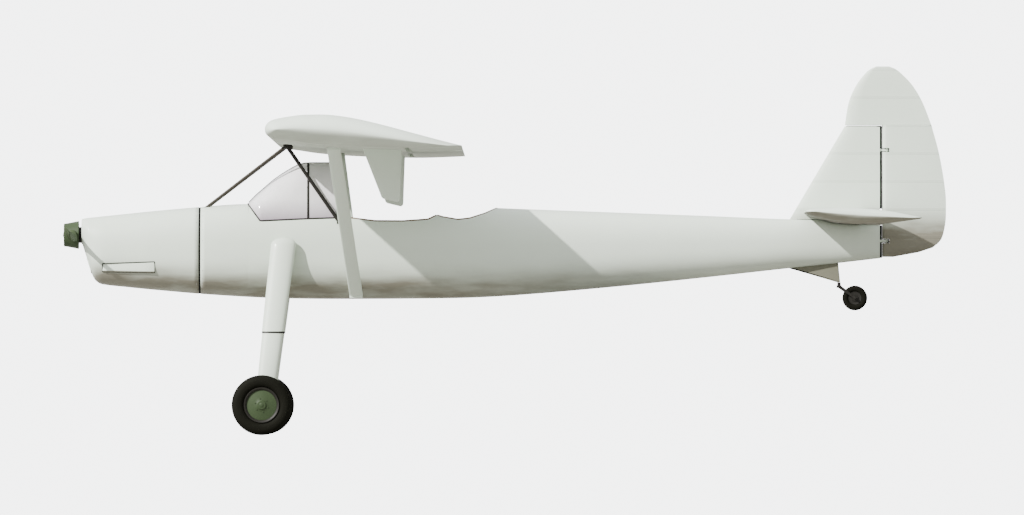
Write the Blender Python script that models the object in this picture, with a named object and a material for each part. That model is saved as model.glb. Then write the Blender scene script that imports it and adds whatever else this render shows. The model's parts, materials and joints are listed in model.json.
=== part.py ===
# A two-seat parasol-wing light aircraft that stands on its long main legs and its tail wheel.
# Everything is modelled in metres in the flying frame, nose towards -X and left wing towards -Y,
# with the origin in the middle of the main axle line. An empty then tips it back onto its wheels.

from math import asin, atan2, cos, hypot, pi, radians, sin

import bmesh
import bpy
from mathutils import Matrix, Vector

# Driving dimensions
SEAM = 0.0003            # gap kept between two pieces that touch
MAIN_TYRE_RADIUS = 0.300
TAIL_TYRE_RADIUS = 0.125
TAIL_AXLE_X = 5.918      # tail wheel's axle, seen from the main axle, with the aircraft level
TAIL_AXLE_Z = 1.070
ORIGIN_TO_AXLE = 2.7573  # from the main axle back to the middle of the parked length
HALF_SPAN = 5.50
THRUST_LINE_Z = 1.700
SKIN = 0.020             # thickness of the fuselage wall, frames and all
RING_POINTS = 32         # points round one fuselage section

# The pitch at which both tyres stand on one floor
PARKED_PITCH = atan2(TAIL_AXLE_Z, TAIL_AXLE_X) + asin(
    (MAIN_TYRE_RADIUS - TAIL_TYRE_RADIUS) / hypot(TAIL_AXLE_X, TAIL_AXLE_Z)
)

# Fuselage sections. Columns: x, top z, bottom z, half width, roundness (2 is an ellipse)
SECTIONS = [
    (-1.810, 1.860, 1.620, 0.150, 2.3),
    (-1.755, 1.870, 1.450, 0.205, 2.4),
    (-1.700, 1.876, 1.285, 0.240, 2.5),
    (-1.660, 1.880, 1.232, 0.258, 2.5),
    (-1.600, 1.887, 1.205, 0.275, 2.5),
    (-1.330, 1.915, 1.175, 0.315, 2.6),
    (-1.130, 1.936, 1.155, 0.345, 2.7),
    (-0.640, 1.979, 1.112, 0.395, 2.9),
    (-0.620, 1.980, 1.110, 0.397, 2.9),
    (-0.150, 2.010, 1.080, 0.418, 3.0),
    (0.200, 2.008, 1.067, 0.425, 3.0),
    (0.670, 2.003, 1.060, 0.430, 3.0),
    (1.400, 1.995, 1.062, 0.430, 3.0),
    (2.070, 1.980, 1.072, 0.420, 3.0),
    (2.600, 1.960, 1.102, 0.400, 2.9),
    (3.500, 1.926, 1.180, 0.335, 2.7),
    (4.400, 1.892, 1.272, 0.255, 2.5),
    (5.270, 1.857, 1.368, 0.170, 2.4),
    (5.580, 1.856, 1.400, 0.135, 2.4),
    (5.700, 1.827, 1.413, 0.120, 2.4),
    (5.860, 1.811, 1.431, 0.100, 2.4),
    (6.168, 1.799, 1.467, 0.056, 2.4),
]
COWL_END_X = -0.640
FIREWALL_END_X = -0.620
COCKPIT_END_X = 2.600
TAIL_END_X = 6.168

# Line along which the top of the fuselage is cut away for the windscreen and cockpits: x, z
SILL = [
    (-0.150, 2.010), (-0.025, 1.835), (0.470, 1.858), (0.890, 1.870), (1.120, 1.842),
    (1.400, 1.840), (1.650, 1.858), (1.740, 1.900), (1.800, 1.882), (1.950, 1.856),
    (2.070, 1.870), (2.220, 1.918), (2.340, 1.972),
]

# Wing section. Columns: x, upper z, lower z
WING_NOSE = (0.080, 2.699)
WING_TAIL = (2.005, 2.540)
WING_ROWS = [
    (0.093, 2.745, 2.652), (0.142, 2.787, 2.621), (0.300, 2.823, 2.597), (0.500, 2.844, 2.567),
    (0.700, 2.843, 2.549), (0.950, 2.809, 2.535), (1.230, 2.745, 2.525), (1.560, 2.657, 2.521),
    (1.860, 2.578, 2.530),
]
WING_HINGE = (1.520, 2.594)     # hinge line of flaps and ailerons: x, z
WING_NOSE_RADIUS = 0.068        # nose of a flap or aileron
CENTRE_HALF = 0.620             # half width of the wing's centre section
FLAP_SPAN = (0.650, 2.960)
AILERON_SPAN = (2.980, 5.130)

# Tailplane section. Columns: x, upper z, lower z
TAIL_NOSE = (5.409, 1.923)
TAIL_TAIL = (6.563, 1.861)
TAIL_ROWS = [
    (5.425, 1.939, 1.905), (5.456, 1.948, 1.892), (5.600, 1.957, 1.854), (5.800, 1.961, 1.818),
    (6.050, 1.948, 1.8025), (6.250, 1.926, 1.814),
]
TAIL_HALF_SPAN = 1.750
ELEVATOR_HINGE = (6.050, 1.876)
ELEVATOR_NOSE_RADIUS = 0.058

RUDDER_HINGE_X = 6.235
RUDDER_NOSE_RADIUS = 0.045
FIN_TOP_Z = 2.787
FIN_REAR_X = 6.168
# Rudder slices. Columns: z, front x (None where the nose is round the hinge), rear x, half thickness
RUDDER_ROWS = [
    (1.480, None, 6.300, 0.030), (1.556, None, 6.660, 0.045), (1.639, None, 6.770, 0.045),
    (1.725, None, 6.807, 0.045), (1.897, None, 6.830, 0.045), (2.121, None, 6.825, 0.045),
    (2.500, None, 6.764, 0.045), (2.797, None, 6.685, 0.045),
]
HORN_ROWS = [
    (2.797, 5.818, 6.685, 0.045), (3.033, 5.860, 6.592, 0.042), (3.206, 5.938, 6.487, 0.036),
    (3.335, 6.041, 6.360, 0.026), (3.386, 6.130, 6.262, 0.010),
]

# Undercarriage
HALF_TRACK = 1.150
LEG_TOP = (0.210, 0.490, 1.600)
LEG_FOOT = (0.014, 0.985, -0.045)
LEG_SPLIT_Z = 0.735

# Colours: red, green, blue, roughness, metallic
PAINTS = {
    "pale_skin": (0.64, 0.67, 0.62, 0.45, 0.0),
    "pale_fabric": (0.66, 0.69, 0.64, 0.60, 0.0),
    "dark_green": (0.09, 0.12, 0.06, 0.40, 0.1),
    "black_rubber": (0.02, 0.02, 0.015, 0.80, 0.0),
    "dark_steel": (0.06, 0.055, 0.05, 0.45, 0.6),
    "engine_iron": (0.06, 0.055, 0.05, 0.50, 0.6),
    "clear_glass": (0.80, 0.76, 0.80, 0.08, 0.0),
    "cockpit_grey": (0.18, 0.19, 0.17, 0.60, 0.0),
    "brown_leather": (0.16, 0.08, 0.04, 0.60, 0.0),
}


def clear_scene():
    for obj in list(bpy.data.objects):
        bpy.data.objects.remove(obj)


def make_paints():
    paints = {}
    for name, (red, green, blue, roughness, metallic) in PAINTS.items():
        paint = bpy.data.materials.new(name)
        paint.use_nodes = True
        shader = paint.node_tree.nodes["Principled BSDF"]
        shader.inputs["Base Color"].default_value = (red, green, blue, 1.0)
        shader.inputs["Roughness"].default_value = roughness
        shader.inputs["Metallic"].default_value = metallic
        paints[name] = paint
    return paints


def add_object(name, bm, paint=None, parent=None):
    """Turns a bmesh into an object. With no paint it is a cutter, which isn't part of the aircraft."""
    bmesh.ops.remove_doubles(bm, verts=bm.verts, dist=1e-6)
    bmesh.ops.recalc_face_normals(bm, faces=bm.faces)
    mesh = bpy.data.meshes.new(name)
    bm.to_mesh(mesh)
    bm.free()
    obj = bpy.data.objects.new(name, mesh)
    bpy.context.scene.collection.objects.link(obj)
    obj.parent = parent
    if paint is None:
        obj.hide_render = True
        obj.display_type = "WIRE"
    else:
        mesh.materials.append(paint)
        mesh.shade_smooth()
        mesh.set_sharp_from_angle(angle=radians(35))
    return obj


def boolean(obj, other, operation):
    cut = obj.modifiers.new(operation.lower(), "BOOLEAN")
    cut.operation = operation
    cut.object = other
    cut.solver = "EXACT"


def bridge_rings(bm, rings, cap=True):
    """Skins a list of rings of points, each with the same count, and caps both ends."""
    rows = [[bm.verts.new(point) for point in ring] for ring in rings]
    count = len(rows[0])
    for low, high in zip(rows, rows[1:]):
        for i in range(count):
            j = (i + 1) % count
            bm.faces.new((low[i], low[j], high[j], high[i]))
    if cap:
        bm.faces.new(rows[0])
        bm.faces.new(rows[-1])


def loft(rings):
    bm = bmesh.new()
    bridge_rings(bm, rings)
    return bm


def thick_patch(outer, inner):
    """A wall between two grids of points, outer and inner, closed round its four edges."""
    bm = bmesh.new()
    rings = []
    for outside, inside in zip(outer, inner):
        rings.append(list(outside) + list(reversed(inside)))
    rows = [[bm.verts.new(point) for point in ring] for ring in rings]
    count = len(rows[0])
    half = count // 2
    for low, high in zip(rows, rows[1:]):
        for i in range(count):
            j = (i + 1) % count
            bm.faces.new((low[i], low[j], high[j], high[i]))
    for row in (rows[0], rows[-1]):
        for i in range(half - 1):
            bm.faces.new((row[i], row[i + 1], row[count - 2 - i], row[count - 1 - i]))
    return bm


def box(low, high):
    bm = bmesh.new()
    bmesh.ops.create_cube(bm, size=1.0)
    size = [b - a for a, b in zip(low, high)]
    middle = [(a + b) / 2 for a, b in zip(low, high)]
    bmesh.ops.scale(bm, vec=size, verts=bm.verts)
    bmesh.ops.translate(bm, vec=middle, verts=bm.verts)
    return bm


def merged(parts):
    """Several bmeshes in one. They stay separate bodies, for cutters and for union partners."""
    whole = bmesh.new()
    for part in parts:
        scratch = bpy.data.meshes.new("scratch")
        part.to_mesh(scratch)
        part.free()
        whole.from_mesh(scratch)
        bpy.data.meshes.remove(scratch)
    return whole


def turned(profile, segments, first_angle=0.0):
    """Spins a closed outline of (radius, y) about the Y axis."""
    bm = bmesh.new()
    rings = []
    for i in range(segments):
        angle = first_angle + 2 * pi * i / segments
        rings.append([(r * cos(angle), y, r * sin(angle)) for r, y in profile])
    rows = [[bm.verts.new(point) for point in ring] for ring in rings]
    count = len(profile)
    for a in range(segments):
        this, following = rows[a], rows[(a + 1) % segments]
        for i in range(count):
            j = (i + 1) % count
            corners = [this[i], this[j], following[j], following[i]]
            if profile[i][0] < 1e-9 and profile[j][0] < 1e-9:
                continue
            bm.faces.new(corners)
    bmesh.ops.remove_doubles(bm, verts=bm.verts, dist=1e-6)
    return bm


def rod(start, end, radius, sides=12, flat=1.0, chord_dir=None):
    """A straight bar. flat squeezes its section across chord_dir, for a streamlined strut."""
    start, end = Vector(start), Vector(end)
    along = (end - start).normalized()
    lengthwise = Vector(chord_dir) if chord_dir else along.orthogonal()
    lengthwise = (lengthwise - lengthwise.dot(along) * along).normalized()
    across = along.cross(lengthwise)
    rings = []
    for centre in (start, end):
        ring = []
        for i in range(sides):
            angle = 2 * pi * (i + 0.5) / sides
            ring.append(centre + radius * (cos(angle) * lengthwise + flat * sin(angle) * across))
        rings.append(ring)
    return loft(rings)


def row_at(rows, x):
    """A table's row at x, read straight between its neighbours."""
    for low, high in zip(rows, rows[1:]):
        if x <= high[0]:
            share = (x - low[0]) / (high[0] - low[0])
            return [a + (b - a) * share for a, b in zip(low, high)]
    return list(rows[-1])


def section_ring(x, grow=0.0):
    """One fuselage section as a ring of points, from the keel up the left side and round."""
    _, top, bottom, half_width, roundness = row_at(SECTIONS, x)
    middle, half_height = (top + bottom) / 2, (top - bottom) / 2 + grow
    half_width += grow
    ring = []
    for i in range(RING_POINTS):
        angle = -pi / 2 - 2 * pi * i / RING_POINTS
        side, rise = cos(angle), sin(angle)
        y = half_width * abs(side) ** (2 / roundness) * (1 if side > 0 else -1)
        z = half_height * abs(rise) ** (2 / roundness) * (1 if rise > 0 else -1)
        ring.append(Vector((x, 0.0 if abs(side) < 1e-9 else y, middle + z)))
    return ring


def ring_point(ring, place):
    """The point at a place along a ring, where 2.25 is a quarter of the way from point 2 to 3."""
    whole = int(place // 1)
    share = place - whole
    return ring[whole % RING_POINTS].lerp(ring[(whole + 1) % RING_POINTS], share)


def stations(start, end):
    return [start] + [row[0] for row in SECTIONS if start + 1e-6 < row[0] < end - 1e-6] + [end]


def half_width_at(x, z):
    """Half the fuselage's width at a height."""
    _, top, bottom, half_width, roundness = row_at(SECTIONS, x)
    rise = abs(z - (top + bottom) / 2) / ((top - bottom) / 2)
    return half_width * max(0.0, 1 - rise ** roundness) ** (1 / roundness)


def skin_panel(start, end, first, last):
    """A wall panel of the fuselage between two x and between two places round the section."""
    edge = 0.004
    places = [first + edge] + list(range(first + 1, last)) + [last - edge]
    outer, inner = [], []
    for x in stations(start, end):
        outside, inside = section_ring(x), section_ring(x, -SKIN)
        outer.append([ring_point(outside, place) for place in places])
        inner.append([ring_point(inside, place) for place in places])
    return thick_patch(outer, inner)


def hull_loft(start, end, grow=0.0):
    return loft([section_ring(x, grow) for x in stations(start, end)])


def outline_plate(outline, low_y, high_y):
    """An outline of (x, z) made solid between two y."""
    return loft([[(x, y, z) for x, z in outline] for y in (low_y, high_y)])


def airfoil(nose, tail, rows, grow=0.0, squeeze=1.0):
    """A wing section's outline, from the tail over the top to the nose and back below."""
    line = []
    for x, upper, lower in reversed(rows):
        middle = (upper + lower) / 2
        line.append((x, middle + (upper - middle) * squeeze + grow))
    line.append((nose[0] - grow, nose[1]))
    for x, upper, lower in rows:
        middle = (upper + lower) / 2
        line.append((x, middle + (lower - middle) * squeeze - grow))
    blunt = 0.004 * squeeze + grow
    return [(tail[0] + grow, tail[1] + blunt)] + line + [(tail[0] + grow, tail[1] - blunt)]


def spanwise(outline_at, ys):
    return loft([[(x, y, z) for x, z in outline_at(y)] for y in ys])


def hinge(axis_point, along, reach):
    """One hinge's lug, the pin that it carries, and the hole that the pin works in.

    along is the hinge axis and reach the distance forward (towards -X) that the lug is built in.
    """
    lug_radius, lug_half, pin_radius, pin_half, hole_radius = 0.018, 0.012, 0.008, 0.034, 0.0087
    centre, along = Vector(axis_point), Vector(along)
    forward = Vector((-1, 0, 0))
    sideways = along.cross(forward)
    outline = []
    for i in range(9):
        angle = -pi / 2 + pi * i / 8
        outline.append(lug_radius * (sideways * sin(angle) - forward * cos(angle)))
    outline += [forward * reach + sideways * lug_radius, forward * reach - sideways * lug_radius]
    lug = loft([[centre + p + along * w for p in outline] for w in (-lug_half, lug_half)])
    pin = rod(centre - along * pin_half, centre + along * pin_half, pin_radius, 16)
    hole_half = pin_half + 0.002
    hole = rod(centre - along * hole_half, centre + along * hole_half, hole_radius, 16)
    return lug, pin, hole


def fit_hinges(fixed, moving, axis_points, along, reach):
    """Adds hinges between a fixed and a moving piece, as lugs and pins on the fixed one."""
    made = [hinge(point, along, reach) for point in axis_points]
    label = fixed.name + "_to_" + moving.name
    boolean(fixed, add_object("lugs_" + label, merged([m[0] for m in made])), "UNION")
    boolean(fixed, add_object("pins_" + label, merged([m[1] for m in made])), "UNION")
    notches = []
    for point in axis_points:
        half = [0.020 if abs(a) > 0.5 else 0.200 for a in along]
        low = [p - h for p, h in zip(point, half)]
        high = [p + h for p, h in zip(point, half)]
        high[0] = point[0] + 0.028
        notches.append(box(low, high))
    boolean(moving, add_object("notches_" + label, merged(notches)), "DIFFERENCE")
    boolean(moving, add_object("holes_" + label, merged([m[2] for m in made])), "DIFFERENCE")


def make_cutters():
    """Shapes that trim the pieces which touch the fuselage and the wing, one seam away from them."""
    above = [(x, z) for x, z in SILL] + [(2.345, 2.300), (-0.150, 2.300)]
    return {
        "outside": add_object("hull_outside", hull_loft(-1.810, TAIL_END_X, SEAM)),
        "inside": add_object(
            "hull_inside",
            loft([section_ring(x, -SKIN - SEAM) for x in stations(-0.600, 2.580)]),
        ),
        "cockpits": add_object("cockpit_cut", outline_plate(above, -0.8, 0.8)),
        "wing": add_object(
            "wing_outside",
            spanwise(lambda y: airfoil(WING_NOSE, WING_TAIL, WING_ROWS, SEAM), (-6.0, 6.0)),
        ),
        "tailplane": add_object(
            "tailplane_outside",
            spanwise(lambda y: airfoil(TAIL_NOSE, TAIL_TAIL, TAIL_ROWS, SEAM), (-0.5, 0.5)),
        ),
    }


def make_fuselage(paints, frame, cutters):
    panels = [
        ("side_left", FIREWALL_END_X + SEAM, COCKPIT_END_X, 3, 13),
        ("side_right", FIREWALL_END_X + SEAM, COCKPIT_END_X, 19, 29),
        ("belly", FIREWALL_END_X + SEAM, COCKPIT_END_X, 29, 35),
        ("nose_deck", FIREWALL_END_X + SEAM, -0.020, 13, 19),
        ("rear_deck", 2.090, COCKPIT_END_X, 13, 19),
    ]
    for name, start, end, first, last in panels:
        panel = add_object(name, skin_panel(start, end, first, last), paints["pale_skin"], frame)
        if name != "belly":
            boolean(panel, cutters["cockpits"], "DIFFERENCE")
    add_object(
        "rear_fuselage", hull_loft(COCKPIT_END_X + SEAM, TAIL_END_X), paints["pale_fabric"], frame
    )
    add_object(
        "firewall", hull_loft(COWL_END_X + SEAM, FIREWALL_END_X), paints["dark_steel"], frame
    )

    # The deck between the two cockpits, ridged as a low wind lip
    bridge = [
        (1.655, 1.8584), (1.740, 1.8995), (1.800, 1.8815), (1.900, 1.8655),
        (1.900, 1.8400), (1.655, 1.8330),
    ]
    deck = add_object("cockpit_bridge", outline_plate(bridge, -0.45, 0.45), paints["pale_skin"], frame)
    boolean(deck, cutters["inside"], "INTERSECT")


def make_cockpits(paints, frame, cutters):
    floor_top = 1.175
    floor = add_object(
        "cockpit_floor", box((-0.55, -0.45, floor_top - 0.015), (2.40, 0.45, floor_top)),
        paints["cockpit_grey"], frame,
    )
    boolean(floor, cutters["inside"], "INTERSECT")
    # Instrument panels. Columns: name, x, top z
    for name, x, top in (("front_panel", 0.300, 1.840), ("rear_panel", 1.760, 1.830)):
        panel = add_object(
            name, box((x, -0.45, top - 0.26), (x + 0.020, 0.45, top)), paints["cockpit_grey"], frame
        )
        boolean(panel, cutters["inside"], "INTERSECT")
    # Seats. Columns: name, front x of the cushion
    for name, x in (("front_seat", 0.960), ("rear_seat", 1.985)):
        base, tall, wide, wall = floor_top + SEAM, 1.690, 0.205, 0.020
        outside = box((x, -wide, base), (x + 0.420, wide, tall))
        seat = add_object(name, outside, paints["brown_leather"], frame)
        well = box((x + 0.400 - 0.340 - 0.2, -wide + wall, 1.400), (x + 0.375, wide - wall, 2.0))
        boolean(seat, add_object(name + "_well", well), "DIFFERENCE")
        front = box((x - 0.1, -1.0, 1.540), (x + 0.300, 1.0, 2.0))
        boolean(seat, add_object(name + "_arms", front), "DIFFERENCE")
    # The control stick stands on a short tube along the floor
    tube_z = floor_top + 0.0188
    tube = add_object(
        "control_sticks", rod((0.720, 0, tube_z), (0.930, 0, tube_z), 0.0200, 8),
        paints["dark_steel"], frame,
    )
    stick = rod((0.800, 0, tube_z), (0.740, 0, 1.660), 0.015, 8)
    boolean(tube, add_object("front_stick", stick), "UNION")


def make_power(paints, frame, cutters):
    shell = add_object("cowling", hull_loft(-1.810, COWL_END_X), paints["pale_skin"], frame)
    cavity = loft([section_ring(x, -0.012) for x in stations(-1.755, COWL_END_X - 0.002)]
                  + [section_ring(COWL_END_X - 0.002, -0.012)])
    bmesh.ops.transform(cavity, matrix=Matrix.Translation((0.006, 0, 0)), verts=cavity.verts)
    boolean(shell, add_object("cowling_hollow", cavity), "DIFFERENCE")
    bore = rod((-1.90, 0, THRUST_LINE_Z), (-1.70, 0, THRUST_LINE_Z), 0.092, 24)
    boolean(shell, add_object("cowling_shaft_hole", bore), "DIFFERENCE")
    intake = box((-1.90, -0.110, 1.330), (-1.640, 0.110, 1.450))
    boolean(shell, add_object("cowling_intake", intake), "DIFFERENCE")

    add_object(
        "engine_block", box((-1.600, -0.165, 1.320), (COWL_END_X, 0.165, 1.790)),
        paints["engine_iron"], frame,
    )
    # Exhaust collectors low on the cowl. Corners run x, z
    outline = [(-1.600, 1.413), (-1.080, 1.430), (-1.080, 1.322), (-1.600, 1.332)]
    for name, near, far in (("exhaust_left", -0.380, -0.200), ("exhaust_right", 0.200, 0.380)):
        duct = add_object(name, exhaust_shape(outline, near < 0), paints["pale_skin"], frame)
        boolean(duct, cutters["outside"], "DIFFERENCE")

    thrust = bpy.data.objects.new("thrust_axis", None)
    bpy.context.scene.collection.objects.link(thrust)
    thrust.parent = frame
    thrust.location = (-1.915, 0, THRUST_LINE_Z)
    cone = turned([(0, -0.080), (0.140, -0.080), (0.115, 0.075), (0, 0.075)], 32)
    bmesh.ops.rotate(cone, cent=(0, 0, 0), matrix=Matrix.Rotation(pi / 2, 3, "Z"), verts=cone.verts)
    spinner = add_object("spinner", cone, paints["dark_green"], thrust)
    root_radius = 0.048
    hole = rod((0, -0.3, 0), (0, 0.3, 0), root_radius + 0.0004, 16, chord_dir=(1, 0, 0))
    boolean(spinner, add_object("spinner_blade_hole", hole, parent=thrust), "DIFFERENCE")
    add_object("propeller_blades", blade_pair(root_radius), paints["dark_green"], thrust)
    add_object(
        "propeller_shaft", rod((0.0803, 0, 0), (0.3147, 0, 0), 0.080, 24), paints["dark_steel"], thrust
    )


def exhaust_shape(outline, left):
    """A collector that stands proud of the cowl and narrows towards its front."""
    side = -1 if left else 1
    proud = {-1.600: 0.262, -1.080: 0.352}
    rings = []
    for x in (-1.600, -1.080):
        zs = [z for px, z in outline if px == x]
        out = proud[x]
        rings.append([
            (x, side * 0.15, max(zs)), (x, side * out, max(zs) - 0.008),
            (x, side * (out - 0.004), min(zs) + 0.008), (x, side * 0.15, min(zs)),
        ])
    return loft(rings)


def blade_pair(root_radius):
    """Two twisted blades and the round root between them, in one piece along Y."""
    # Blade sections. Columns: radius, chord, thickness, pitch in degrees
    rows = [
        (0.150, 2 * root_radius, 2 * root_radius, 90), (0.260, 0.130, 0.060, 62),
        (0.420, 0.168, 0.040, 45), (0.700, 0.170, 0.026, 31), (0.980, 0.140, 0.017, 24),
        (1.160, 0.100, 0.011, 21), (1.235, 0.040, 0.006, 20),
    ]
    rings = []
    for side in (-1, 1):
        for radius, chord, thick, pitch in (reversed(rows) if side < 0 else rows):
            angle = radians(pitch if side > 0 else 180 - pitch)
            ring = []
            for i in range(16):
                turn = 2 * pi * (i + 0.5) / 16
                a, b = chord / 2 * cos(turn), thick / 2 * sin(turn)
                x = a * sin(angle) - b * cos(angle)
                z = a * cos(angle) + b * sin(angle)
                ring.append((x, side * radius, z))
            rings.append(ring)
    return loft(rings)


def canopy_ring(x, drop):
    """The glazing's section at x: an arch from sill to sill, drop inside the outer surface."""
    roof = [(-0.150, 2.014), (-0.080, 2.088), (-0.010, 2.150), (0.120, 2.260), (0.270, 2.358),
            (0.370, 2.412), (0.440, 2.422), (0.780, 2.422)]
    base = row_at([(a, b) for a, b in SILL], x)[1] + SEAM
    top = row_at(roof, x)[1]
    half = max(half_width_at(x, base) - 0.004, 0.02) - drop
    rise = max(top - base - drop, 0.3 * (top - base))
    ring = []
    for i in range(17):
        angle = pi * i / 16
        y = half * abs(cos(angle)) ** (2 / 2.7) * (1 if cos(angle) > 0 else -1)
        ring.append(Vector((x, y, base + rise * sin(angle) ** (2 / 2.7) if 0 < i < 16 else base)))
    return ring


def canopy_piece(xs, thickness, stand_out=0.0):
    return thick_patch(
        [canopy_ring(x, -stand_out) for x in xs], [canopy_ring(x, thickness - stand_out) for x in xs]
    )


def make_canopy(paints, frame):
    pieces = [
        ("windscreen", (-0.146, -0.080, -0.010, 0.120, 0.270, 0.370, 0.4397),
         0.006, 0.0, "clear_glass"),
        ("windscreen_bow", (0.440, 0.470), 0.016, 0.003, "pale_skin"),
        ("hood", (0.4703, 0.600, 0.7297), 0.006, 0.0, "clear_glass"),
        ("hood_bow", (0.730, 0.755), 0.016, 0.003, "pale_skin"),
    ]
    for name, xs, thickness, stand_out, paint in pieces:
        add_object(name, canopy_piece(xs, thickness, stand_out), paints[paint], frame)


def wing_outline(y, squeeze_from, tip):
    """The wing's section at y, drawn in towards its middle line over the rounded tip."""
    share = max(0.0, (abs(y) - squeeze_from) / (tip - squeeze_from))
    squeeze = (1 - min(share, 0.999) ** 2) ** 0.5
    outline = airfoil(WING_NOSE, WING_TAIL, WING_ROWS, 0.0, max(squeeze, 0.12))
    pull = 1 - (1 - squeeze) * 0.14
    middle = 0.55 * WING_NOSE[0] + 0.45 * WING_TAIL[0]
    return [(middle + (x - middle) * pull, z) for x, z in outline]


def control_surface(hinge_at, nose_radius, tail, rows, y_ends):
    """A flap, aileron or half elevator: a round nose about its hinge, faired to the tail."""
    x0, z0 = hinge_at
    nose = []
    for i in range(9):
        angle = pi / 2 + pi * i / 8
        nose.append((x0 + nose_radius * cos(angle), z0 + nose_radius * sin(angle)))
    behind = [row for row in rows if row[0] > x0 + 0.05]
    upper = [(x, up - 0.002) for x, up, _ in reversed(behind)]
    lower = [(x, low + 0.002) for x, _, low in behind]
    outline = [(tail[0], tail[1] + 0.004)] + upper + nose + lower + [(tail[0], tail[1] - 0.004)]
    low_y, high_y = y_ends
    return loft([[(x, y, z) for x, z in outline] for y in (low_y, high_y)])


def make_wing(paints, frame):
    add_object(
        "wing_centre",
        spanwise(lambda y: airfoil(WING_NOSE, WING_TAIL, WING_ROWS), (-CENTRE_HALF, CENTRE_HALF)),
        paints["pale_fabric"], frame,
    )
    rear_face = WING_HINGE[0] - WING_NOSE_RADIUS - 0.014
    ys = [CENTRE_HALF + SEAM, 5.200, 5.330, 5.410, 5.465, 5.490, HALF_SPAN]
    for name, side in (("left", -1), ("right", 1)):
        wing = add_object(
            "wing_" + name, spanwise(lambda y: wing_outline(y, 5.200, HALF_SPAN), [side * y for y in ys]),
            paints["pale_fabric"], frame,
        )
        ends = sorted((side * (FLAP_SPAN[0] - 0.1), side * (AILERON_SPAN[1] + 0.012)))
        bay = box((rear_face, ends[0], 2.40), (2.2, ends[1], 2.9))
        boolean(wing, add_object("wing_bay_" + name, bay), "DIFFERENCE")
        surfaces = (
            ("flap_", FLAP_SPAN, (0.850, 1.800, 2.750)),
            ("aileron_", AILERON_SPAN, (3.200, 4.050, 4.900)),
        )
        for kind, span, hinge_ys in surfaces:
            y_ends = sorted((side * span[0], side * span[1]))
            surface = add_object(
                kind + name,
                control_surface(WING_HINGE, WING_NOSE_RADIUS, WING_TAIL, WING_ROWS, y_ends),
                paints["pale_fabric"], frame,
            )
            points = [(WING_HINGE[0], side * y, WING_HINGE[1]) for y in hinge_ys]
            fit_hinges(wing, surface, points, (0, 1, 0), 0.110)


def make_struts(paints, frame, cutters):
    fin_outline = [(1.000, 2.580), (1.022, 2.530), (1.208, 2.050), (1.230, 2.037), (1.350, 2.011),
                   (1.380, 2.016), (1.388, 2.040), (1.405, 2.530), (1.405, 2.580)]
    for name, side in (("left", -1), ("right", 1)):
        strut = add_object(
            "lift_strut_" + name,
            rod((0.9355, side * 0.262, 1.090), (0.722, side * 2.640, 2.595), 0.0685, 12, 0.40, (1, 0, 0)),
            paints["pale_skin"], frame,
        )
        boolean(strut, cutters["outside"], "DIFFERENCE")
        boolean(strut, cutters["wing"], "DIFFERENCE")

        # Two cabane tubes meet in a joint under the wing. The rear one carries the fitting
        front = add_object(
            "cabane_front_" + name,
            rod((-0.620, side * 0.126, 1.925), (0.230, side * 0.356, 2.582), 0.018, 10),
            paints["dark_steel"], frame,
        )
        pad_room = box((0.200, side * 0.360 - 0.1, 2.4), (0.4, side * 0.360 + 0.1, 2.8))
        boolean(front, add_object("cabane_trim_" + name, pad_room), "DIFFERENCE")
        boolean(front, cutters["outside"], "DIFFERENCE")
        rear = add_object(
            "cabane_rear_" + name,
            rod((0.775, side * 0.424, 1.815), (0.245, side * 0.360, 2.580), 0.020, 10),
            paints["dark_steel"], frame,
        )
        pad = box((0.2003, side * 0.360 - 0.035, 2.545), (0.300, side * 0.360 + 0.035, 2.640))
        boolean(rear, add_object("cabane_pad_" + name, pad), "UNION")
        foot = box((0.735, side * 0.415 - 0.035, 1.770), (0.815, side * 0.415 + 0.035, 1.830))
        boolean(rear, add_object("cabane_foot_" + name, foot), "UNION")
        boolean(rear, cutters["outside"], "DIFFERENCE")
        boolean(rear, cutters["wing"], "DIFFERENCE")

        fin_y = side * 2.970
        plate = outline_plate(fin_outline, fin_y - 0.018, fin_y + 0.018)
        fin = add_object("wing_fin_" + name, plate, paints["pale_skin"], frame)
        boolean(fin, cutters["wing"], "DIFFERENCE")


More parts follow.
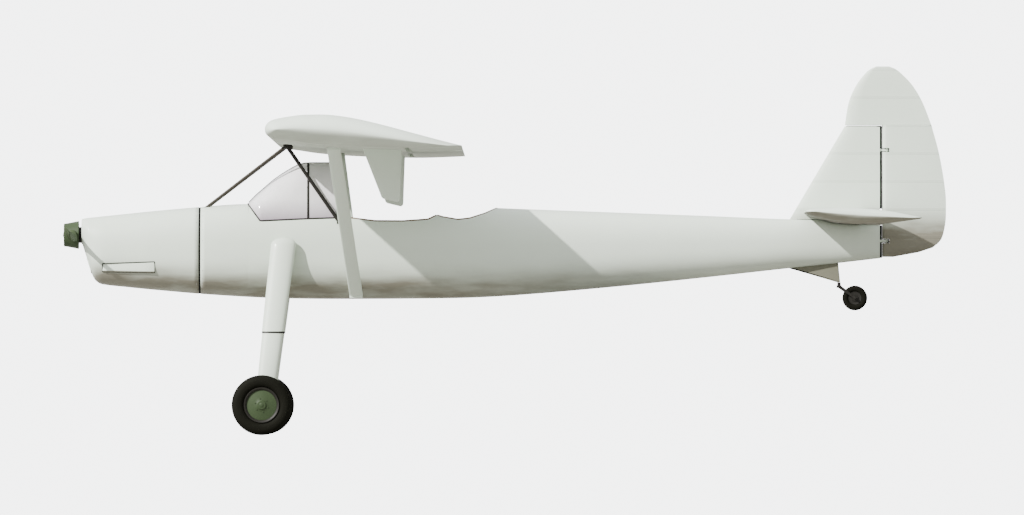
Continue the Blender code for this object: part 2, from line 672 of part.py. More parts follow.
def make_tail(paints, frame, cutters):
    # Fin slices. Columns: z, front x, half thickness
    slices = [(1.8575, 5.268, 0.060), (2.300, 5.529, 0.052), (FIN_TOP_Z, 5.817, 0.042)]
    rings = []
    for z, front, half in slices:
        long = FIN_REAR_X - front
        side = [(0.000, 0.00), (0.012, 0.28), (0.060, 0.60), (0.180, 0.90), (0.400, 1.00), (1.000, 0.78)]
        left = [(front + long * u, -half * v, z) for u, v in side]
        right = [(front + long * u, half * v, z) for u, v in reversed(side[1:])]
        rings.append(left + right)
    fin = add_object("fin", loft(rings), paints["pale_fabric"], frame)
    boolean(fin, cutters["tailplane"], "DIFFERENCE")

    def tip(y):
        share = max(0.0, (abs(y) - 1.560) / (TAIL_HALF_SPAN - 1.560))
        squeeze = max((1 - min(share, 0.999) ** 2) ** 0.5, 0.12)
        pull = 1 - (1 - squeeze) * 0.16
        outline = airfoil(TAIL_NOSE, TAIL_TAIL, TAIL_ROWS, 0.0, squeeze)
        middle = (TAIL_NOSE[0] + TAIL_TAIL[0]) / 2
        return [(middle + (x - middle) * pull, z) for x, z in outline]

    ys = [1.560, 1.650, 1.705, 1.738, TAIL_HALF_SPAN]
    plane = add_object(
        "tailplane", spanwise(tip, [-y for y in reversed(ys)] + ys), paints["pale_fabric"], frame
    )
    rear_face = ELEVATOR_HINGE[0] - ELEVATOR_NOSE_RADIUS - 0.012
    bay = box((rear_face, -1.545, 1.70), (6.8, 1.545, 2.1))
    boolean(plane, add_object("elevator_bay", bay), "DIFFERENCE")

    halves = []
    for side in (-1, 1):
        y_ends = sorted((side * 0.090, side * 1.533))
        halves.append(
            control_surface(ELEVATOR_HINGE, ELEVATOR_NOSE_RADIUS, TAIL_TAIL, TAIL_ROWS, y_ends)
        )
    elevator = add_object("elevator", halves[0], paints["pale_fabric"], frame)
    other = add_object("elevator_other_half", halves[1])
    hinge_x, hinge_z = ELEVATOR_HINGE
    tube = rod((hinge_x, -0.15, hinge_z), (hinge_x, 0.15, hinge_z), 0.019, 12)
    boolean(elevator, add_object("elevator_tube", tube), "UNION")
    boolean(elevator, other, "UNION")
    slant = [(6.080, 0.0), (6.080, 0.115), (6.700, 0.400), (6.700, 0.0)]
    for side in (-1, 1):
        corner = loft([[(x, side * y, z) for x, y in slant] for z in (1.7, 2.1)])
        boolean(elevator, add_object("elevator_cut_%d" % (side + 1), corner), "DIFFERENCE")
    points = [(hinge_x, side * y, hinge_z) for side in (-1, 1) for y in (0.35, 1.30)]
    fit_hinges(plane, elevator, points, (0, 1, 0), 0.095)

    rings = [rudder_ring(*row) for row in RUDDER_ROWS]
    horn = [rudder_ring(*row) for row in HORN_ROWS]
    rudder = add_object("rudder", loft(rings), paints["pale_fabric"], frame)
    horn[0] = [(x, y, z - 0.004) for x, y, z in horn[0]]
    boolean(rudder, add_object("rudder_horn", loft(horn)), "UNION")
    fuselage = bpy.data.objects["rear_fuselage"]
    fit_hinges(fuselage, rudder, [(RUDDER_HINGE_X, 0, 1.640)], (0, 0, 1), 0.090)
    fit_hinges(fin, rudder, [(RUDDER_HINGE_X, 0, 2.550)], (0, 0, 1), 0.110)


def rudder_ring(z, front, rear, half):
    """One level of the rudder, from its rear edge along the left side, round the front and back."""
    edge = 0.004
    if front is None:
        nose_x, nose = RUDDER_HINGE_X, RUDDER_NOSE_RADIUS
    else:
        nose_x, nose = front + 0.9 * half, half
    points = [(rear, -edge, z)]
    for i in range(9):
        angle = -pi / 2 - pi * i / 8
        depth = nose if front is None else 0.9 * half
        points.append((nose_x + depth * cos(angle), half * sin(angle), z))
    return points + [(rear, edge, z)]


def make_main_gear(paints, frame, cutters):
    wheel_pitch = -PARKED_PITCH
    top, foot = Vector(LEG_TOP), Vector(LEG_FOOT)
    share = (top.z - LEG_SPLIT_Z) / (top.z - foot.z)
    split = top.lerp(foot, share)
    for name, side in (("left", -1), ("right", 1)):
        def leg_ring(centre, chord, thick):
            ring = []
            for i in range(16):
                angle = 2 * pi * i / 16
                x = centre.x + chord / 2 * cos(angle)
                y = side * (centre.y + thick / 2 * sin(angle))
                ring.append((x, y, centre.z))
            return ring

        crown = top + (top - foot).normalized() * 0.075
        rings = [
            leg_ring(crown, 0.080, 0.050), leg_ring(top.lerp(crown, 0.75), 0.170, 0.085),
            leg_ring(top.lerp(crown, 0.30), 0.235, 0.108), leg_ring(top, 0.250, 0.116),
            leg_ring(split, 0.218, 0.100),
        ]
        upper = add_object("leg_upper_" + name, loft(rings), paints["pale_skin"], frame)
        stub = rod((0.205, side * 0.36, 1.560), (0.205, side * 0.49, 1.560), 0.050, 12)
        boolean(upper, add_object("leg_stub_" + name, stub), "UNION")
        brace = rod((0.118, side * 0.16, 1.150), (0.118, side * 0.735, 0.800), 0.022, 10)
        boolean(upper, add_object("leg_brace_" + name, brace), "UNION")
        boolean(upper, cutters["outside"], "DIFFERENCE")

        rings = [leg_ring(split - Vector((0, 0, SEAM)), 0.206, 0.090), leg_ring(foot, 0.176, 0.074)]
        lower = add_object("leg_lower_" + name, loft(rings), paints["pale_skin"], frame)
        axle = rod((0, side * 0.96, 0), (0, side * (HALF_TRACK + 0.050), 0), 0.022, 24)
        boolean(lower, add_object("axle_" + name, axle), "UNION")

        hub_y = side * HALF_TRACK
        tyre = turned(tyre_profile(MAIN_TYRE_RADIUS, 0.168, 0.078), 32, -pi / 2)
        hub = turned(hub_profile(0.1677, 0.0228, 0.050), 32, -pi / 2)
        for kind, shape, paint in (("tyre_", tyre, "black_rubber"), ("wheel_", hub, "dark_green")):
            if side < 0:
                bmesh.ops.scale(shape, vec=(1, -1, 1), verts=shape.verts)
            wheel = add_object(kind + name, shape, paints[paint], frame)
            wheel.location = (0, hub_y, 0)
            wheel.rotation_euler = (0, wheel_pitch, 0)


def tyre_profile(outer, inner, half_width):
    """A round-shouldered tyre section as (radius, y) points."""
    middle, high = (outer + inner) / 2, (outer - inner) / 2
    points = []
    for i in range(10):
        angle = 2 * pi * i / 10
        points.append((middle + high * cos(angle), half_width * sin(angle)))
    return points


def hub_profile(outer, bore, half_width):
    """A dished wheel: its outer side, at +y, is a shallow cap."""
    return [
        (bore, -half_width), (outer - 0.030, -half_width), (outer - 0.006, -half_width - 0.004),
        (outer - 0.016, -0.030), (outer - 0.0003, 0.0), (outer - 0.016, 0.030),
        (outer - 0.006, half_width + 0.004), (outer - 0.050, half_width + 0.020),
        (bore, half_width + 0.026),
    ]


def make_tail_gear(paints, frame, cutters):
    outline = [(5.266, 1.420), (5.266, 1.366), (5.748, 1.225), (5.772, 1.225), (5.752, 1.420)]
    pylon = add_object("tail_pylon", outline_plate(outline, -0.030, 0.030), paints["pale_skin"], frame)
    boolean(pylon, cutters["outside"], "DIFFERENCE")

    # The swivel turns about a short spindle under the pylon's rear corner
    swivel_x, swivel_top = 5.760, 1.2247
    spindle = rod((swivel_x, 0, 1.185), (swivel_x, 0, swivel_top), 0.018, 12)
    fork = add_object("tail_fork", spindle, paints["dark_steel"], frame)
    crown = box((swivel_x - 0.022, -0.056, 1.172), (swivel_x + 0.026, 0.056, 1.196))
    boolean(fork, add_object("fork_crown", crown), "UNION")
    for side in (-1, 1):
        y = side * 0.047
        blade_end = (TAIL_AXLE_X + 0.012, y, TAIL_AXLE_Z - 0.008)
        blade = rod((swivel_x, y, 1.185), blade_end, 0.016, 8, 0.45, (0, 0, 1))
        boolean(fork, add_object("fork_blade_%d" % (side + 1), blade), "UNION")
    axle = rod((TAIL_AXLE_X, -0.050, TAIL_AXLE_Z), (TAIL_AXLE_X, 0.050, TAIL_AXLE_Z), 0.009, 24)
    boolean(fork, add_object("tail_axle", axle), "UNION")

    tyre = turned(tyre_profile(TAIL_TYRE_RADIUS, 0.060, 0.032), 24, -pi / 2)
    rim = [(0.0096, -0.030), (0.050, -0.026), (0.0597, 0.0), (0.050, 0.026), (0.0096, 0.030)]
    hub = turned(rim, 24, -pi / 2)
    for name, shape, paint in (("tail_tyre", tyre, "black_rubber"), ("tail_wheel", hub, "dark_steel")):
        wheel = add_object(name, shape, paints[paint], frame)
        wheel.location = (TAIL_AXLE_X, 0, TAIL_AXLE_Z)
        wheel.rotation_euler = (0, -PARKED_PITCH, 0)


def main():
    clear_scene()
    paints = make_paints()
    airframe = bpy.data.objects.new("airframe", None)
    bpy.context.scene.collection.objects.link(airframe)
    airframe.location = (-ORIGIN_TO_AXLE, 0, MAIN_TYRE_RADIUS)
    airframe.rotation_euler = (0, PARKED_PITCH, 0)
    cutters = make_cutters()
    for obj in cutters.values():
        obj.parent = airframe
    make_fuselage(paints, airframe, cutters)
    make_cockpits(paints, airframe, cutters)
    make_power(paints, airframe, cutters)
    make_canopy(paints, airframe)
    make_wing(paints, airframe)
    make_struts(paints, airframe, cutters)
    make_tail(paints, airframe, cutters)
    make_main_gear(paints, airframe, cutters)
    make_tail_gear(paints, airframe, cutters)
    for obj in bpy.data.objects:
        if obj.hide_render and obj.parent is None:
            obj.parent = airframe


main()
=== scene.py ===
# %% [markdown]
# # A parasol-wing light aircraft, dressed
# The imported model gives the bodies, the joints and plain solids. This notebook gives every piece
# that shows its finished form and its paint. Each step says what the piece is on a real aircraft,
# how it could be made, and why it is made this way.

# %% Load the model
import json
from math import atan2, cos, pi, radians, sin, sqrt

import bmesh
import bpy
from mathutils import Matrix, Vector


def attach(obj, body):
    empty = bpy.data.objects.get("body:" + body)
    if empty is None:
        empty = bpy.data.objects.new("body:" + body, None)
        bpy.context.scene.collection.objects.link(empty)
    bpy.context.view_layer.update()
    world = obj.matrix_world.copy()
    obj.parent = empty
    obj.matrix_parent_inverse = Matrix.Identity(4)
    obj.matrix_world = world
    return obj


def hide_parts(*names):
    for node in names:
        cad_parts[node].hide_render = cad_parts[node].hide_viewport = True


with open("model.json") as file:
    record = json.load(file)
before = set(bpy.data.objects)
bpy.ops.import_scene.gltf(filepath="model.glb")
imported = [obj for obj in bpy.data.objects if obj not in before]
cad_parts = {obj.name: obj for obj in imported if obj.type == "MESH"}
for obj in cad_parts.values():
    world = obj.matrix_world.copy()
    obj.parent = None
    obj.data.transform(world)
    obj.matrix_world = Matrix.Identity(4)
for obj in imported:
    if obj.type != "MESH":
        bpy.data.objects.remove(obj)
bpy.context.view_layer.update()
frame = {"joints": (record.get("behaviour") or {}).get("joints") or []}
joints = {joint["name"]: joint for joint in frame["joints"]}

# %% [markdown]
# ## Two frames
# The aircraft parks with its nose up, but it was designed lying level, and every station, hinge
# line and section is easier to state in that level frame. Its origin is the middle of the main
# axle. The propeller's axis tells how far the nose is up, so the two frames can't drift apart.

# %% The level frame and the parked frame
def joint_place(name):
    return Vector(joints[name]["pos_m"])


shaft_axis = Vector(joints["propeller_spin"]["axis"])
nose_up = atan2(-shaft_axis.z, shaft_axis.x)
axle_middle = (joint_place("wheel_left_spin") + joint_place("wheel_right_spin")) / 2
parked = Matrix.Translation(axle_middle) @ Matrix.Rotation(nose_up, 4, "Y")
level = parked.inverted()
half_track = abs(joint_place("wheel_left_spin").y)
sides = (("left", -1), ("right", 1))


def level_joint(name):
    return level @ joint_place(name)


print("nose up %.1f degrees" % (nose_up * 180 / pi))

# %% [markdown]
# ## Making and finishing a piece
# Most of this aircraft is smooth sheet wrapped round sections: fuselage, wings, tail. A sheet is
# a grid. Blender makes the grid, and a function then lays its two directions over the surface.
# That keeps every skin in even quads, which shade well. Seams close where grid edges meet.

# %% Helpers for sheets, solids and finished pieces
def shares(count):
    """Evenly spaced numbers from 0 to 1."""
    return [i / count for i in range(count + 1)]


def evenly(start, end, step):
    return [start + (end - start) * share for share in shares(max(1, round((end - start) / step)))]


def ring(count):
    """Evenly spaced angles, once round."""
    return [2 * pi * i / count for i in range(count)]


def between(a, b, share):
    return a + (b - a) * share


def laid_sheet(across, along, surface):
    """A grid of quads, laid out by surface(u, v), where u and v run from 0 to 1."""
    bm = bmesh.new()
    bmesh.ops.create_grid(bm, x_segments=across, y_segments=along, size=0.5)
    for vert in bm.verts:
        vert.co = surface(vert.co.x + 0.5, vert.co.y + 0.5)
    bmesh.ops.remove_doubles(bm, verts=bm.verts, dist=1e-5)
    return bm


def close_ends(bm):
    rims = [edge for edge in bm.edges if edge.is_boundary]
    bmesh.ops.holes_fill(bm, edges=rims, sides=0)
    return bm


def lofted(loops, ends=True):
    """A skin through a list of closed loops, each with as many points as the next."""
    last, count = len(loops) - 1, len(loops[0])
    skin = laid_sheet(last, count, lambda u, v: Vector(loops[round(u * last)][round(v * count) % count]))
    return close_ends(skin) if ends else skin


def spun(outline, steps=64):
    """Turns an outline of (radius, height) points about Z. The outline may start or end on it."""
    bm = bmesh.new()
    points = [bm.verts.new((r, 0, z)) for r, z in outline]
    edges = [bm.edges.new(pair) for pair in zip(points, points[1:])]
    bmesh.ops.spin(bm, geom=points + edges, cent=(0, 0, 0), axis=(0, 0, 1), angle=2 * pi,
                   steps=steps, use_merge=True)
    bmesh.ops.remove_doubles(bm, verts=bm.verts, dist=1e-6)
    return bm


def extruded(points, vector):
    """A flat face through the points, drawn out along the vector."""
    bm = bmesh.new()
    face = bm.faces.new([bm.verts.new(point) for point in points])
    made = bmesh.ops.extrude_face_region(bm, geom=[face])["geom"]
    bmesh.ops.translate(bm, vec=vector, verts=[v for v in made if isinstance(v, bmesh.types.BMVert)])
    return bm


def swept_tube(path, radius, count=10):
    """A round tube along a list of points, with both ends closed."""
    last = len(path) - 1
    loops = []
    for i in range(last + 1):
        along = (path[min(i + 1, last)] - path[max(i - 1, 0)]).normalized()
        out = along.cross(Vector((0, 0, 1)))
        out = out.normalized() if out.length > 1e-4 else Vector((0, 1, 0))
        up = out.cross(along)
        loops.append([path[i] + radius * (cos(turn) * out + sin(turn) * up) for turn in ring(count)])
    return lofted(loops)


def round_bar(start, end, radius, count=24):
    return swept_tube([Vector(start).lerp(Vector(end), share) for share in shares(4)], radius, count)


def bevelled(bm, edges, radius, segments):
    bmesh.ops.bevel(bm, geom=edges, offset=radius, affect="EDGES", segments=segments, profile=0.5,
                    material=-1)
    return bm


def rounded_box(low, high, radius=0.004, segments=2):
    bm = bmesh.new()
    bmesh.ops.create_cube(bm, size=1.0)
    low, high = Vector(low), Vector(high)
    bmesh.ops.scale(bm, vec=high - low, verts=bm.verts)
    bmesh.ops.translate(bm, vec=(low + high) / 2, verts=bm.verts)
    return bevelled(bm, bm.edges[:], radius, segments)


def side_plate(outline, y, thickness, radius):
    """An upright plate about y with rounded edges, its outline given as (x, z)."""
    bm = extruded([(x, y - thickness / 2, z) for x, z in outline], (0, thickness, 0))
    edges = [e for e in bm.edges if abs(e.verts[0].co.y - e.verts[1].co.y) < 1e-6]
    return bevelled(bm, edges, radius, 4)


def moved(bm, matrix):
    bmesh.ops.transform(bm, matrix=matrix, verts=bm.verts)
    return bm


def standing(at, out):
    """The place for a shape made about Z: at a point, with its Z along out."""
    return Matrix.Translation(at) @ Vector(out).to_track_quat("Z", "Y").to_matrix().to_4x4()


def side_on(at, side):
    """The place for a shape made about Z: at a point, with its Z out to a side."""
    return Matrix.Translation(at) @ Matrix.Rotation(-side * pi / 2, 4, "X")


def tail_on(at):
    """The place for a shape made about Z: at a point, with its Z towards the tail."""
    return Matrix.Translation(at) @ Matrix.Rotation(pi / 2, 4, "Y")


def peg(at, out, count, base, top, depth):
    """A short cone or cylinder about a point, standing along out."""
    bm = bmesh.new()
    bmesh.ops.create_cone(bm, cap_ends=True, segments=count, radius1=base, radius2=top, depth=depth)
    return moved(bm, standing(at, out))


def bolt(at, out, radius, depth):
    """A six-sided head with its rims taken off."""
    head = peg(at, out, 6, radius, radius, depth)
    return bevelled(head, [e for e in head.edges if abs(e.calc_face_angle(0.0)) > 1.2], radius * 0.12, 1)


def as_mesh(bm, name):
    mesh = bpy.data.meshes.new(name)
    bm.to_mesh(mesh)
    bm.free()
    return mesh


def linked(name, data):
    made = bpy.data.objects.new(name, data)
    bpy.context.scene.collection.objects.link(made)
    return made


def joined(parts):
    """Several bmeshes as one."""
    whole = bmesh.new()
    for part in parts:
        scratch = as_mesh(part, "scratch")
        whole.from_mesh(scratch)
        bpy.data.meshes.remove(scratch)
    return whole


def finished(made, name, material, stands_for=(), crease=32, body="airframe", place=parked, turn_out=True):
    """Closes the making of a piece: normals out, place in the mesh, smooth shading, body, slot.

    made is a bmesh or a list of them. stands_for is the CAD node it replaces, or several of them.
    """
    bm = joined(made) if isinstance(made, list) else made
    bmesh.ops.remove_doubles(bm, verts=bm.verts, dist=1e-6)
    if turn_out:
        bmesh.ops.recalc_face_normals(bm, faces=bm.faces)
    mesh = as_mesh(moved(bm, place), name)
    piece = linked(name, mesh)
    mesh.materials.append(material)
    mesh.shade_smooth()
    mesh.set_sharp_from_angle(angle=radians(crease))
    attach(piece, body)
    if stands_for:
        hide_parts(*([stands_for] if isinstance(stands_for, str) else stands_for))
    return piece


def walled(piece, thickness):
    """Gives a sheet its thickness, inwards."""
    wall = piece.modifiers.new("wall", "SOLIDIFY")
    wall.thickness, wall.offset = thickness, -1.0


def smooth_row(rows, x):
    """A table's row at x, read along a smooth curve through its rows."""
    last = len(rows) - 1
    at = next((i for i in range(last) if x <= rows[i + 1][0]), last - 1)
    before, low, high, after = (rows[min(max(i, 0), last)] for i in range(at - 1, at + 3))
    step = high[0] - low[0]
    t = min(max((x - low[0]) / step, 0.0), 1.0)
    values = []
    for a, b, c, d in zip(before, low, high, after):
        rise_in = 0.0 if (c - b) * (b - a) < 0 else (c - a) / (high[0] - before[0]) * step
        rise_out = 0.0 if (d - c) * (c - b) < 0 else (d - b) / (after[0] - low[0]) * step
        values.append(b * (2 * t**3 - 3 * t**2 + 1) + c * (3 * t**2 - 2 * t**3)
                      + rise_in * (t**3 - 2 * t**2 + t) + rise_out * (t**3 - t**2))
    return values


def straight_row(rows, x):
    """A table's row at x, read straight between its neighbours."""
    for low, high in zip(rows, rows[1:]):
        if x <= high[0]:
            share = max(0.0, (x - low[0]) / (high[0] - low[0]))
            return [between(a, b, share) for a, b in zip(low, high)]
    return list(rows[-1])

# %% [markdown]
# ## Camera
# The reference is a plain side view from the left with the fuselage level, so the camera looks
# along +Y from far away, and is rolled by as much as the nose is up. A very long lens from far
# off keeps the near wing tip almost the size of the far one. The camera stands at the height of
# the floor, as the reference shows no floor: from there the floor is seen edge on.

# %% The camera
frame_width = 10.24          # metres of the aircraft's side that the picture spans
frame_middle = Vector((2.49, 0, 1.475))
lens, sensor = 800.0, 36.0
stand_off = frame_width * lens / sensor

camera_data = bpy.data.cameras.new("camera")
camera_data.lens, camera_data.sensor_width = lens, sensor
camera_data.clip_start, camera_data.clip_end = 10.0, 5 * stand_off
camera = linked("camera", camera_data)
aim = parked @ frame_middle
camera_at = Vector((aim.x, -stand_off, 0.0))
look_up = atan2(aim.z - camera_at.z, stand_off)
turn_to_side = Matrix.Rotation(pi / 2 + look_up, 4, "X") @ Matrix.Rotation(-nose_up, 4, "Z")
camera.matrix_world = Matrix.Translation(camera_at) @ turn_to_side
bpy.context.scene.camera = camera
print("camera stands off %.0f m" % stand_off)

# %% [markdown]
# ## A short way to wire nodes
# Both the sky and the materials are node trees. Adding each node and link by hand takes many
# lines, so a small helper adds a node with its values, links and settings in one call.

# %% A helper that wires node groups and materials
class Wiring:
    """Adds nodes to a tree and links them with short calls. Most calls return an output socket."""

    def __init__(self, tree):
        self.tree = tree

    def fill(self, node, values):
        """Links the values that are sockets, and sets the plain ones."""
        for socket, value in values.items():
            if isinstance(value, bpy.types.NodeSocket):
                self.tree.links.new(value, node.inputs[socket])
            else:
                node.inputs[socket].default_value = value

    def node(self, kind, values=None, **settings):
        """A new node's outputs."""
        made = self.tree.nodes.new("ShaderNode" + kind)
        for key, value in settings.items():
            setattr(made, key, value)
        self.fill(made, values or {})
        return made.outputs

    def maths(self, operation, first, second=0.0, clamp=False):
        return self.node("Math", {0: first, 1: second}, operation=operation, use_clamp=clamp)[0]

    def times(self, first, second):
        return self.maths("MULTIPLY", first, second)

    def blend(self, share, first, second):
        return self.node("Mix", {0: share, 6: first, 7: second}, data_type="RGBA")[2]

    def noise(self, place, scale, detail):
        return self.node("TexNoise", {"Vector": place, "Scale": scale, "Detail": detail})["Fac"]

    def ramp(self, value, low, high, start=0.0, end=1.0, how="LINEAR"):
        """Maps low to high onto start to end."""
        return self.node("MapRange", {
            "Value": value, "From Min": low, "From Max": high, "To Min": start, "To Max": end,
        }, interpolation_type=how)[0]

    def group(self, tree, values):
        return self.node("Group", values, node_tree=tree)

    def xyz(self, vector):
        return self.node("SeparateXYZ", {0: vector})

    def level_place(self):
        """Where a point lies on the aircraft, in the level frame."""
        return self.node("Mapping", {
            "Vector": self.node("TexCoord")["Object"], "Location": axle_middle, "Rotation": (0, nose_up, 0),
        }, vector_type="TEXTURE")[0]

    def seen(self):
        """1 for what the camera sees itself."""
        return self.node("LightPath")["Is Camera Ray"]


def new_material(name):
    """A new material with its wiring and its shader."""
    material = bpy.data.materials.new(name)
    material.use_nodes = True
    return material, Wiring(material.node_tree), material.node_tree.nodes["Principled BSDF"]

# %% [markdown]
# ## Light and floor
# The reference is lit from ahead and above on the left side: the wing and the tailplane throw
# slanting shadows back and down along the fuselage. One sun does that, given in the level frame
# as the way its light travels. A sky that is brighter overhead fills the shadows and models the
# round of the fuselage, and a pale floor lifts the belly. The camera itself sees a plain pale
# backdrop in place of the sky, as in a studio.

# %% The light and the floor
sun_travel = Vector((0.62, 0.48, -0.56))
sun_data = bpy.data.lights.new("sun", "SUN")
sun_data.energy, sun_data.angle = 8.4, radians(1.0)
sun_data.color = (1.0, 0.985, 0.95)
sun = linked("sun", sun_data)
sun.rotation_euler = (parked.to_3x3() @ sun_travel).to_track_quat("-Z", "Y").to_euler()

sky = bpy.data.worlds.new("studio sky")
bpy.context.scene.world = sky
sky.use_nodes = True
wires = Wiring(sky.node_tree)
overhead = wires.ramp(wires.xyz(wires.node("TexCoord")["Generated"])["Z"], 0.0, 1.0, 0.90, 1.80)
backdrop_strength = 5.5
strength = wires.node("Mix", {0: wires.seen(), 2: overhead, 3: backdrop_strength}, data_type="FLOAT")[0]
wires.fill(sky.node_tree.nodes["Background"], {"Color": (0.975, 0.985, 0.99, 1), "Strength": strength})

floor_bm = bmesh.new()
bmesh.ops.create_circle(floor_bm, cap_ends=True, segments=96, radius=60.0)
floor = linked("floor", as_mesh(floor_bm, "floor"))
floor_paint, wires, shader = new_material("pale floor")
floor_tone = wires.blend(wires.seen(), (0.28, 0.275, 0.25, 1), (0.44, 0.44, 0.43, 1))
wires.fill(shader, {"Base Color": floor_tone, "Roughness": 0.9})
floor.data.materials.append(floor_paint)

# %% [markdown]
# ## Paint and cloth
# Old aircraft paint isn't one flat colour. It is patchy where it was sprayed, it chalks in the
# sun, and grime gathers low down. The darkening low down and underneath is also painted shade.
# Four effects are shared by several materials, so each is a node group with its own sockets: patchy
# tone, painted shade and grime by height and slope, rib tapes along the span, and fine grain.
# Materials differ only in the values they give them.

# %% A maker of node groups
def new_group(name, inputs, outputs):
    """A node group, its wiring, its given sockets and the node that gives its outputs.

    An input's value tells its kind: a number, a colour, or None for a vector.
    """
    group = bpy.data.node_groups.new(name, "ShaderNodeTree")
    for socket, value in inputs.items():
        kind = "Vector" if value is None else "Float" if isinstance(value, float) else "Color"
        made = group.interface.new_socket(socket, in_out="INPUT", socket_type="NodeSocket" + kind)
        if value is not None:
            made.default_value = value
    for socket, kind in outputs.items():
        group.interface.new_socket(socket, in_out="OUTPUT", socket_type="NodeSocket" + kind)
    return group, Wiring(group), group.nodes.new("NodeGroupInput").outputs, group.nodes.new("NodeGroupOutput")


plain_grey = (0.7, 0.7, 0.7, 1)

# %% Patchy tone: broad sprayed patches and finer mottling
patchy_tone, wires, given, gives = new_group(
    "patchy tone", {"Place": None, "Colour": plain_grey, "Strength": 0.1, "Size": 1.0},
    {"Colour": "Color", "Patches": "Float"},
)
broad = wires.noise(given["Place"], given["Size"], 3.0)
fine = wires.noise(given["Place"], wires.times(given["Size"], 9.0), 4.0)
patches = wires.maths("ADD", wires.times(broad, 0.7), wires.times(fine, 0.3))
swing = wires.times(wires.maths("SUBTRACT", patches, 0.5), given["Strength"])
tone = wires.maths("ADD", swing, 1.0)
toned = wires.node("VectorMath", {0: given["Colour"], "Scale": tone}, operation="SCALE")[0]
wires.fill(gives, {"Colour": toned, "Patches": patches})

# %% Painted shade and grime: darker and browner low down and underneath, broken up by streaks
shade_and_dirt_below, wires, given, gives = new_group(
    "painted shade and dirt below",
    {"Place": None, "Colour": plain_grey, "Shade and dirt colour": (0.2, 0.19, 0.15, 1), "Full tone height": 1.6,
     "Darkest height": 1.0, "Strength": 0.4, "Facing": None, "Full tone slope": 0.0, "Darkest slope": -0.8,
     "Under strength": 0.0, "Tail share": 1.0},
    {"Colour": "Color", "Mask": "Float"},
)
# Darker low down and where the surface faces down: painted shade, with some grime
split = wires.xyz(given["Place"])
fall = wires.ramp(split["Z"], given["Full tone height"], given["Darkest height"], how="SMOOTHSTEP")
stretched = wires.node("VectorMath", {0: given["Place"], 1: (1.0, 1.0, 5.0)}, operation="MULTIPLY")[0]
streaks = wires.noise(stretched, 2.2, 5.0)
rise = wires.xyz(given["Facing"])["Z"]
under = wires.ramp(rise, given["Full tone slope"], given["Darkest slope"], how="SMOOTHSTEP")
by_height = wires.times(fall, given["Strength"])
aft = wires.ramp(split["X"], 1.2, 4.2, 1.0, given["Tail share"])
by_slope = wires.times(wires.times(under, given["Under strength"]), aft)
either = wires.maths("MAXIMUM", by_height, by_slope)
mask = wires.maths("MULTIPLY", either, wires.maths("ADD", streaks, 0.35), clamp=True)
wires.fill(gives, {"Colour": wires.blend(mask, given["Colour"], given["Shade and dirt colour"]), "Mask": mask})

# %% Bands: a thin line at every step along one axis, for the tapes over the ribs
bands, wires, given, gives = new_group("bands", {"Along": 0.0, "Step": 0.3, "Width": 0.03}, {"Mask": "Float"})
cell = wires.maths("FRACT", wires.maths("ADD", wires.maths("DIVIDE", given["Along"], given["Step"]), 100.5))
off_middle = wires.times(wires.maths("ABSOLUTE", wires.maths("SUBTRACT", cell, 0.5)), given["Step"])
half_band = wires.times(given["Width"], 0.5)
wires.fill(gives, {"Mask": wires.ramp(off_middle, wires.times(half_band, 0.8), half_band, 1.0, 0.0)})

# %% Grain: the small bumps of weave, cast or sprayed surfaces
grain, wires, given, gives = new_group(
    "grain", {"Place": None, "Size": 300.0, "Roughness": 0.5, "Spread": 0.1},
    {"Height": "Float", "Roughness": "Float"},
)
speckle = wires.noise(given["Place"], given["Size"], 2.0)
uneven = wires.times(wires.maths("SUBTRACT", speckle, 0.5), given["Spread"])
rough = wires.maths("ADD", given["Roughness"], uneven, clamp=True)
wires.fill(gives, {"Height": speckle, "Roughness": rough})
print("node groups:", ", ".join(group.name for group in bpy.data.node_groups))

# %% [markdown]
# ## Materials
# A material here is one Principled shader whose colour, roughness and small bumps come from the
# shared groups. Patterns are placed in the level frame by one Mapping node, so they stay square to
# the aircraft and not to the ground.

# %% One maker for all solid finishes
def finish_material(name, slot, colour, roughness, patch=(0.10, 1.2), shade_and_grime=None,
                    under=(0.0, -0.8, 0.0, 1.0), grain_size=400.0, spread=0.12, bump=0.10,
                    metallic=0.0, coat=0.0, gloss=0.5, lines=()):
    """A solid finish. shade_and_grime is (full tone height, darkest height, strength): painted shade
    and grime that darken it low down.

    under is (full tone slope, darkest slope, strength, share left at the tail), a slope being the
    upward part of the normal: painted shade and grime where the surface faces down.

    Each of lines is (axis, step, width, how much darker, bump height), repeated along that axis.
    """
    material, wires, shader = new_material(name)
    material["slot"] = slot
    place = wires.level_place()
    shown = wires.group(patchy_tone, {
        "Place": place, "Colour": (*colour, 1), "Strength": patch[0], "Size": patch[1],
    })["Colour"]
    # Painted shade, with some grime: darker low down and where the surface faces down
    if shade_and_grime:
        shown = wires.group(shade_and_dirt_below, {
            "Place": place, "Colour": shown, "Facing": wires.node("NewGeometry")["Normal"],
            "Full tone height": shade_and_grime[0], "Darkest height": shade_and_grime[1], "Strength": shade_and_grime[2],
            "Full tone slope": under[0], "Darkest slope": under[1], "Under strength": under[2],
            "Tail share": under[3],
        })["Colour"]
    rough = wires.group(grain, {
        "Place": place, "Size": grain_size, "Roughness": roughness, "Spread": spread,
    })
    height = wires.times(rough["Height"], bump * 0.001)
    split = wires.xyz(place)
    for axis, step, width, darker, line_height in lines:
        mask = wires.group(bands, {"Along": split[axis], "Step": step, "Width": width})["Mask"]
        shown = wires.blend(wires.times(mask, darker), shown, (0.05, 0.05, 0.04, 1))
        height = wires.maths("ADD", height, wires.times(mask, line_height))
    relief = wires.node("Bump", {"Height": height, "Strength": 1.0, "Distance": 1.0})[0]
    wires.fill(shader, {
        "Metallic": metallic, "Coat Weight": coat, "Specular IOR Level": gloss, "Base Color": shown,
        "Roughness": rough["Roughness"], "Normal": relief,
    })
    return material
